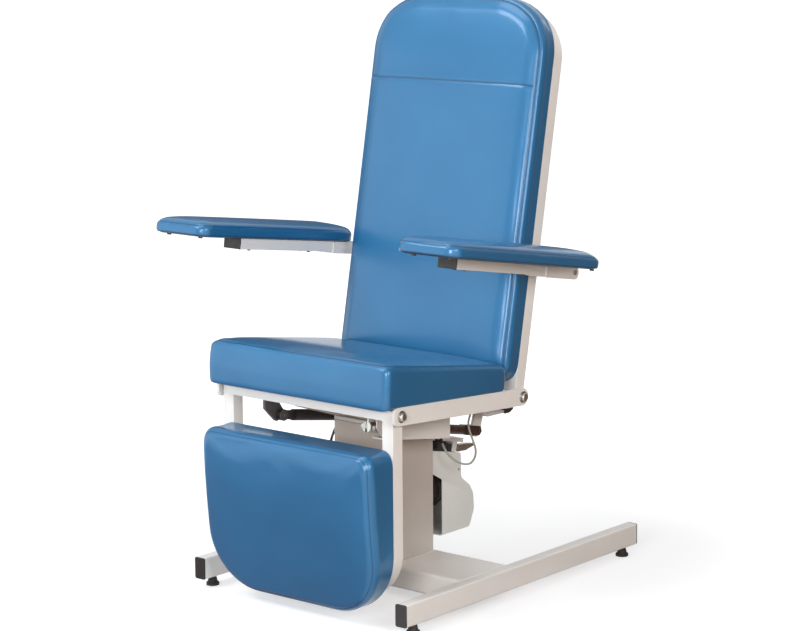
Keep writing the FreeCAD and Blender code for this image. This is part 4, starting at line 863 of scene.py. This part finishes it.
def leg_cushion(material):
    """Wide round corners at the bottom, where it is also thinner."""
    half = 247.7
    bottom, top = 25.5, 392.0
    lower_corner = 133.0
    height, taper, taper_top, taper_power = 82.0, 34.0, 350.0, 1.6
    board_face = -391.0
    straight, radius, angle = 50.0, 22.0, 50.0
    profile = edge_profile(straight, radius, angle, radius, angle)
    rim = profile[-1][0]
    sine = math.sin(math.radians(angle))
    depth = straight + radius * sine + radius * (1 - sine)

    def panel_shape(points, panel, inside):
        share = np.clip((taper_top - points[:, 1]) / (taper_top - bottom), 0, 1)
        local_height = height - taper * share ** taper_power
        w = np.where(points[:, 2] > 0, points[:, 2] * local_height / depth, points[:, 2])
        return crowned(w, panel, inside, reach=90.0, crown=4.0)

    def to_row(points):
        return np.stack([points[:, 0], board_face - points[:, 2], points[:, 1]], axis=1)

    piece = build_cushion("legrest_cushion", box_corners(half, bottom, top),
                          [lower_corner, lower_corner, 30.0, 30.0],
                          [lower_corner - rim, lower_corner - rim, 26.0, 26.0], profile, panel_shape,
                          to_row, size=12.0, hem=46.0, material=material, pressure=0.5, cap=3.0,
                          seam=(0.35, 1.4, 0.3))
    finish_cushion(piece, "leg_cushion", "legrest")


def arm_cushion(side, material):
    """A thin pad with a slanting rear end and a hem that turns in under it, with shade painted darker along
    its lower edge and underside.
    """
    inner, outer = 272.0, 437.0
    front, rear_outer = -574.0, 0.6
    rear_inner = {"left": -109.0, "right": -62.0}[side]
    board_face = 26.5
    hem_height = 9.0
    shade_from, shade_over = 31.0, 5.0
    corners = [(inner, front), (outer, front), (outer, rear_outer), (inner, rear_inner)]
    radii = [30.0, 30.0, 40.0, 25.0]
    if side == "right":
        corners = [(-x, y) for x, y in (corners[1], corners[0], corners[3], corners[2])]
        radii = [radii[1], radii[0], radii[3], radii[2]]
    profile = [(2.6, 0.2, -40.0), (1.0, 1.6, -36.0), (0.2, 4.2, -32.0)]
    side_rings = edge_profile(straight=6.0, side_radius=14.0, seam_angle=38.0, panel_radius=17.0,
                              panel_angle=28.0, bow=0.0)
    profile += [(inset, hem_height + w, tag) for inset, w, tag in side_rings]

    def panel_shape(points, panel, inside):
        return crowned(points[:, 2], panel, inside, reach=58.0, crown=6.5)

    def to_row(points):
        local = np.stack([points[:, 0], points[:, 1], board_face + points[:, 2]], axis=1)
        return tilted(local, ARM_ORIGIN_Y, ARM_ORIGIN_Z, ARM_TILT[side])

    piece = build_cushion("arm_cushion_" + side, corners, radii, radii, profile, panel_shape, to_row,
                          size=9.0, hem=11.0, material=material, pressure=3.0, cap=4.0,
                          seam=(0.3, 1.6, 0.0), tuck=(5.0, 0.0))
    from_seam = -get_attribute(piece.data, "edge_mm")
    # Paints shade on the lowest side rings and the hem underneath, where the pad is in its own shadow.
    paint_shade(piece.data, np.clip((from_seam - shade_from) / shade_over, 0.0, 1.0))
    finish_cushion(piece, "arm_pad_" + side, "arm_" + side)


def finish_cushion(piece, node, body):
    """Drops the working attributes and tells the frame what the cushion is."""
    for name in ("edge_mm", "row_v", "row_u", "front"):
        piece.data.attributes.remove(piece.data.attributes[name])
    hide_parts(node)
    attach(piece, body)


# ---------------------------------------------------------------- stage
# Metres and scene-linear colours from here on
FLOOR_REACH = 40.0
FLOOR_SIDES = 64
FLOOR_SHADOW = (0.66, 0.66, 0.67, 1.0)
GLOW_NEAR, GLOW_FAR = 0.7, 1.9
GLOW_LOW, GLOW_FULL = 0.5, 1.0
WARM_FROM, WARM_TO = -0.15, 0.5
FILL_LEFT = (0.50, 0.53, 0.56, 1.0)
FILL_RIGHT = (0.13, 0.11, 0.10, 1.0)
FILL_LEFT_AT, FILL_RIGHT_AT = 0.25, 0.85
FILL_STRENGTH = 0.8


def make_floor():
    """Pale floor that keeps the shadow. It is seen near white; what it bounces onto the chair is
    cool on the left and warmer on the right."""
    n = Nodes("floor_paint")
    tree = n.tree
    tree.nodes.remove(n.shader)
    output = tree.nodes["Material Output"]
    plain = n.add("ShaderNodeBsdfDiffuse")
    across = n.add("ShaderNodeSeparateXYZ")
    n.link(n.place, across.inputs[0])
    warm = n.mix(n.noise(2.0, 2.0), linear((160, 142, 126)), linear((152, 134, 120)))
    cool = linear((200, 202, 206))
    rightwards = n.span(across.outputs["X"], WARM_FROM, WARM_TO, 0.0, 1.0)
    n.link(n.mix(rightwards, cool, warm), plain.inputs["Color"])
    shadow = n.add("ShaderNodeBsdfDiffuse")
    shadow.inputs["Color"].default_value = FLOOR_SHADOW
    glow = n.add("ShaderNodeEmission")
    spot = n.add("ShaderNodeVectorMath", operation="LENGTH")
    n.link(n.place, spot.inputs[0])
    lit = n.span(spot.outputs["Value"], GLOW_NEAR, GLOW_FAR, GLOW_LOW, GLOW_FULL)
    n.link(lit, glow.inputs["Strength"])
    both = n.add("ShaderNodeAddShader")
    n.link(shadow.outputs[0], both.inputs[0])
    n.link(glow.outputs[0], both.inputs[1])
    path = n.add("ShaderNodeLightPath")
    seen = n.math("MAXIMUM", path.outputs["Is Camera Ray"], path.outputs["Is Glossy Ray"])
    seen = n.math("MAXIMUM", seen, path.outputs["Is Transmission Ray"])
    pick = n.add("ShaderNodeMixShader")
    n.link(seen, pick.inputs[0])
    n.link(plain.outputs[0], pick.inputs[1])
    n.link(both.outputs[0], pick.inputs[2])
    n.link(pick.outputs[0], output.inputs["Surface"])
    angles = [2 * math.pi * k / FLOOR_SIDES for k in range(FLOOR_SIDES)]
    ring = [(FLOOR_REACH * math.cos(a), FLOOR_REACH * math.sin(a), 0.0) for a in angles]
    floor = add_mesh("floor", ring, [tuple(range(FLOOR_SIDES))], n.material)


def make_world():
    """White where it is seen or mirrored, and a fill light that falls off towards the right."""
    world = bpy.data.worlds.new("studio")
    bpy.context.scene.world = world
    world.use_nodes = True
    tree = world.node_tree
    tree.nodes.clear()
    output = tree.nodes.new("ShaderNodeOutputWorld")
    fill = tree.nodes.new("ShaderNodeBackground")
    place = tree.nodes.new("ShaderNodeTexCoord")
    apart = tree.nodes.new("ShaderNodeSeparateXYZ")
    tree.links.new(place.outputs["Generated"], apart.inputs[0])
    ramp = tree.nodes.new("ShaderNodeValToRGB")
    stops = ((FILL_LEFT_AT, FILL_LEFT), (FILL_RIGHT_AT, FILL_RIGHT))
    for element, (position, colour) in zip(ramp.color_ramp.elements, stops):
        element.position = position
        element.color = colour
    half = tree.nodes.new("ShaderNodeMath")
    half.operation = "MULTIPLY_ADD"
    half.inputs[1].default_value = 0.5
    half.inputs[2].default_value = 0.5
    tree.links.new(apart.outputs["X"], half.inputs[0])
    tree.links.new(half.outputs[0], ramp.inputs[0])
    tree.links.new(ramp.outputs[0], fill.inputs["Color"])
    fill.inputs["Strength"].default_value = FILL_STRENGTH
    white = tree.nodes.new("ShaderNodeBackground")
    white.inputs["Color"].default_value = (1.0, 1.0, 1.0, 1.0)
    white.inputs["Strength"].default_value = 1.0
    path = tree.nodes.new("ShaderNodeLightPath")
    seen = path.outputs["Is Camera Ray"]
    for ray in ("Is Glossy Ray", "Is Transmission Ray"):
        either = tree.nodes.new("ShaderNodeMath")
        either.operation = "MAXIMUM"
        tree.links.new(seen, either.inputs[0])
        tree.links.new(path.outputs[ray], either.inputs[1])
        seen = either.outputs[0]
    pick = tree.nodes.new("ShaderNodeMixShader")
    tree.links.new(seen, pick.inputs[0])
    tree.links.new(fill.outputs[0], pick.inputs[1])
    tree.links.new(white.outputs[0], pick.inputs[2])
    tree.links.new(pick.outputs[0], output.inputs["Surface"])


# Name, place, target, width, height, watts and colour of each softbox
LAMPS = [
    ("window", (-2.5, -3.0, 1.05), (0.0, 0.0, 0.75), 3.2, 2.0, 24.0, (0.86, 0.98, 1.0)),
    ("key", (-1.5, -2.8, 3.3), (0.0, 0.0, 0.6), 1.8, 1.0, 62.0, (0.95, 0.99, 1.0)),
    ("front", (1.95, -4.05, 1.6), (0.0, 0.0, 0.7), 1.7, 0.9, 88.0, (1.0, 1.0, 1.0)),
    ("right", (3.4, -1.6, 1.8), (0.1, 0.0, 0.5), 1.6, 1.2, 60.0, (1.0, 0.985, 0.965)),
    ("rear", (1.2, 3.8, 2.2), (0.0, 0.0, 0.6), 2.0, 1.6, 34.0, (1.0, 1.0, 1.0)),
    ("top", (-0.6, -0.9, 3.8), (0.0, -0.1, 0.5), 1.6, 1.6, 32.0, (1.0, 1.0, 1.0)),
]

# Glow and corners of each card; the ones on the floor lie just above it
BROWN_GLOW = (0.28, 0.19, 0.14)
ON_FLOOR = 0.003
CARDS = {
    "card_right": (BROWN_GLOW, [(0.2, 1.7, 0.0), (2.3, 0.1, 0.0), (2.3, 0.1, 1.8), (0.2, 1.7, 1.8)]),
    "card_right_floor": (BROWN_GLOW, [(0.45, 0.0, ON_FLOOR), (2.3, 0.1, ON_FLOOR),
                                      (0.2, 1.7, ON_FLOOR), (0.1, 0.9, ON_FLOOR)]),
    "card_left": ((0.12, 0.14, 0.18), [(-0.22, 1.07, 0.62), (-1.6, -0.07, 0.62),
                                       (-1.6, -0.07, 1.2), (-0.22, 1.07, 1.2)]),
    "card_front_floor": ((0.50, 0.27, 0.24), [(-0.9, -0.35, ON_FLOOR), (0.2, -0.42, ON_FLOOR),
                                              (-0.5, -2.1, ON_FLOOR), (-2.0, -1.6, ON_FLOOR)]),
}


def add_lamp(name, place, target, width, height, watts, colour):
    """A softbox that lights the chair and is not seen by the camera."""
    data = bpy.data.lights.new(name, "AREA")
    data.shape = "RECTANGLE"
    data.size = width
    data.size_y = height
    data.energy = watts
    data.color = colour
    lamp = bpy.data.objects.new(name, data)
    bpy.context.scene.collection.objects.link(lamp)
    lamp.visible_camera = False
    direction = Vector(target) - Vector(place)
    turn = direction.to_track_quat("-Z", "Y").to_matrix().to_4x4()
    lamp.matrix_world = Matrix.Translation(Vector(place)) @ turn


def add_card(name, glow, corners):
    """A studio card that only shows in the gloss of the chair."""
    n = Nodes(name + "_paper")
    n.tree.nodes.remove(n.shader)
    paper = n.add("ShaderNodeEmission")
    paper.inputs["Color"].default_value = (*glow, 1.0)
    n.link(n.spread(n.noise(1.0, 1.0), 0.94, 1.0), paper.inputs["Strength"])
    n.link(paper.outputs[0], n.tree.nodes["Material Output"].inputs["Surface"])
    card = add_mesh(name, corners, [(0, 1, 2, 3)], n.material)
    card.visible_camera = False
    card.visible_shadow = False
    card.visible_diffuse = False


def build_all():
    bpy.context.scene.view_settings.view_transform = "Standard"
    make_camera()
    materials = make_materials()
    make_cord("release_cable_cord", "release_cable", RELEASE_ROUTE, radius=2.5,
              material=materials["light_cable"])
    make_cord("power_cable_cord", "power_cable", POWER_ROUTE, radius=3.0,
              material=materials["dark_cable"])
    for finish, names in NODE_FINISH.items():
        for name in names:
            dress_node(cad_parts[name], materials[finish])
    back_cushion(materials["vinyl"])
    seat_cushion(materials["vinyl"])
    leg_cushion(materials["vinyl"])
    for side in ("left", "right"):
        arm_cushion(side, materials["vinyl"])
    make_floor()
    make_world()
    for lamp in LAMPS:
        add_lamp(*lamp)
    for name, (glow, corners) in CARDS.items():
        add_card(name, glow, corners)


build_all()
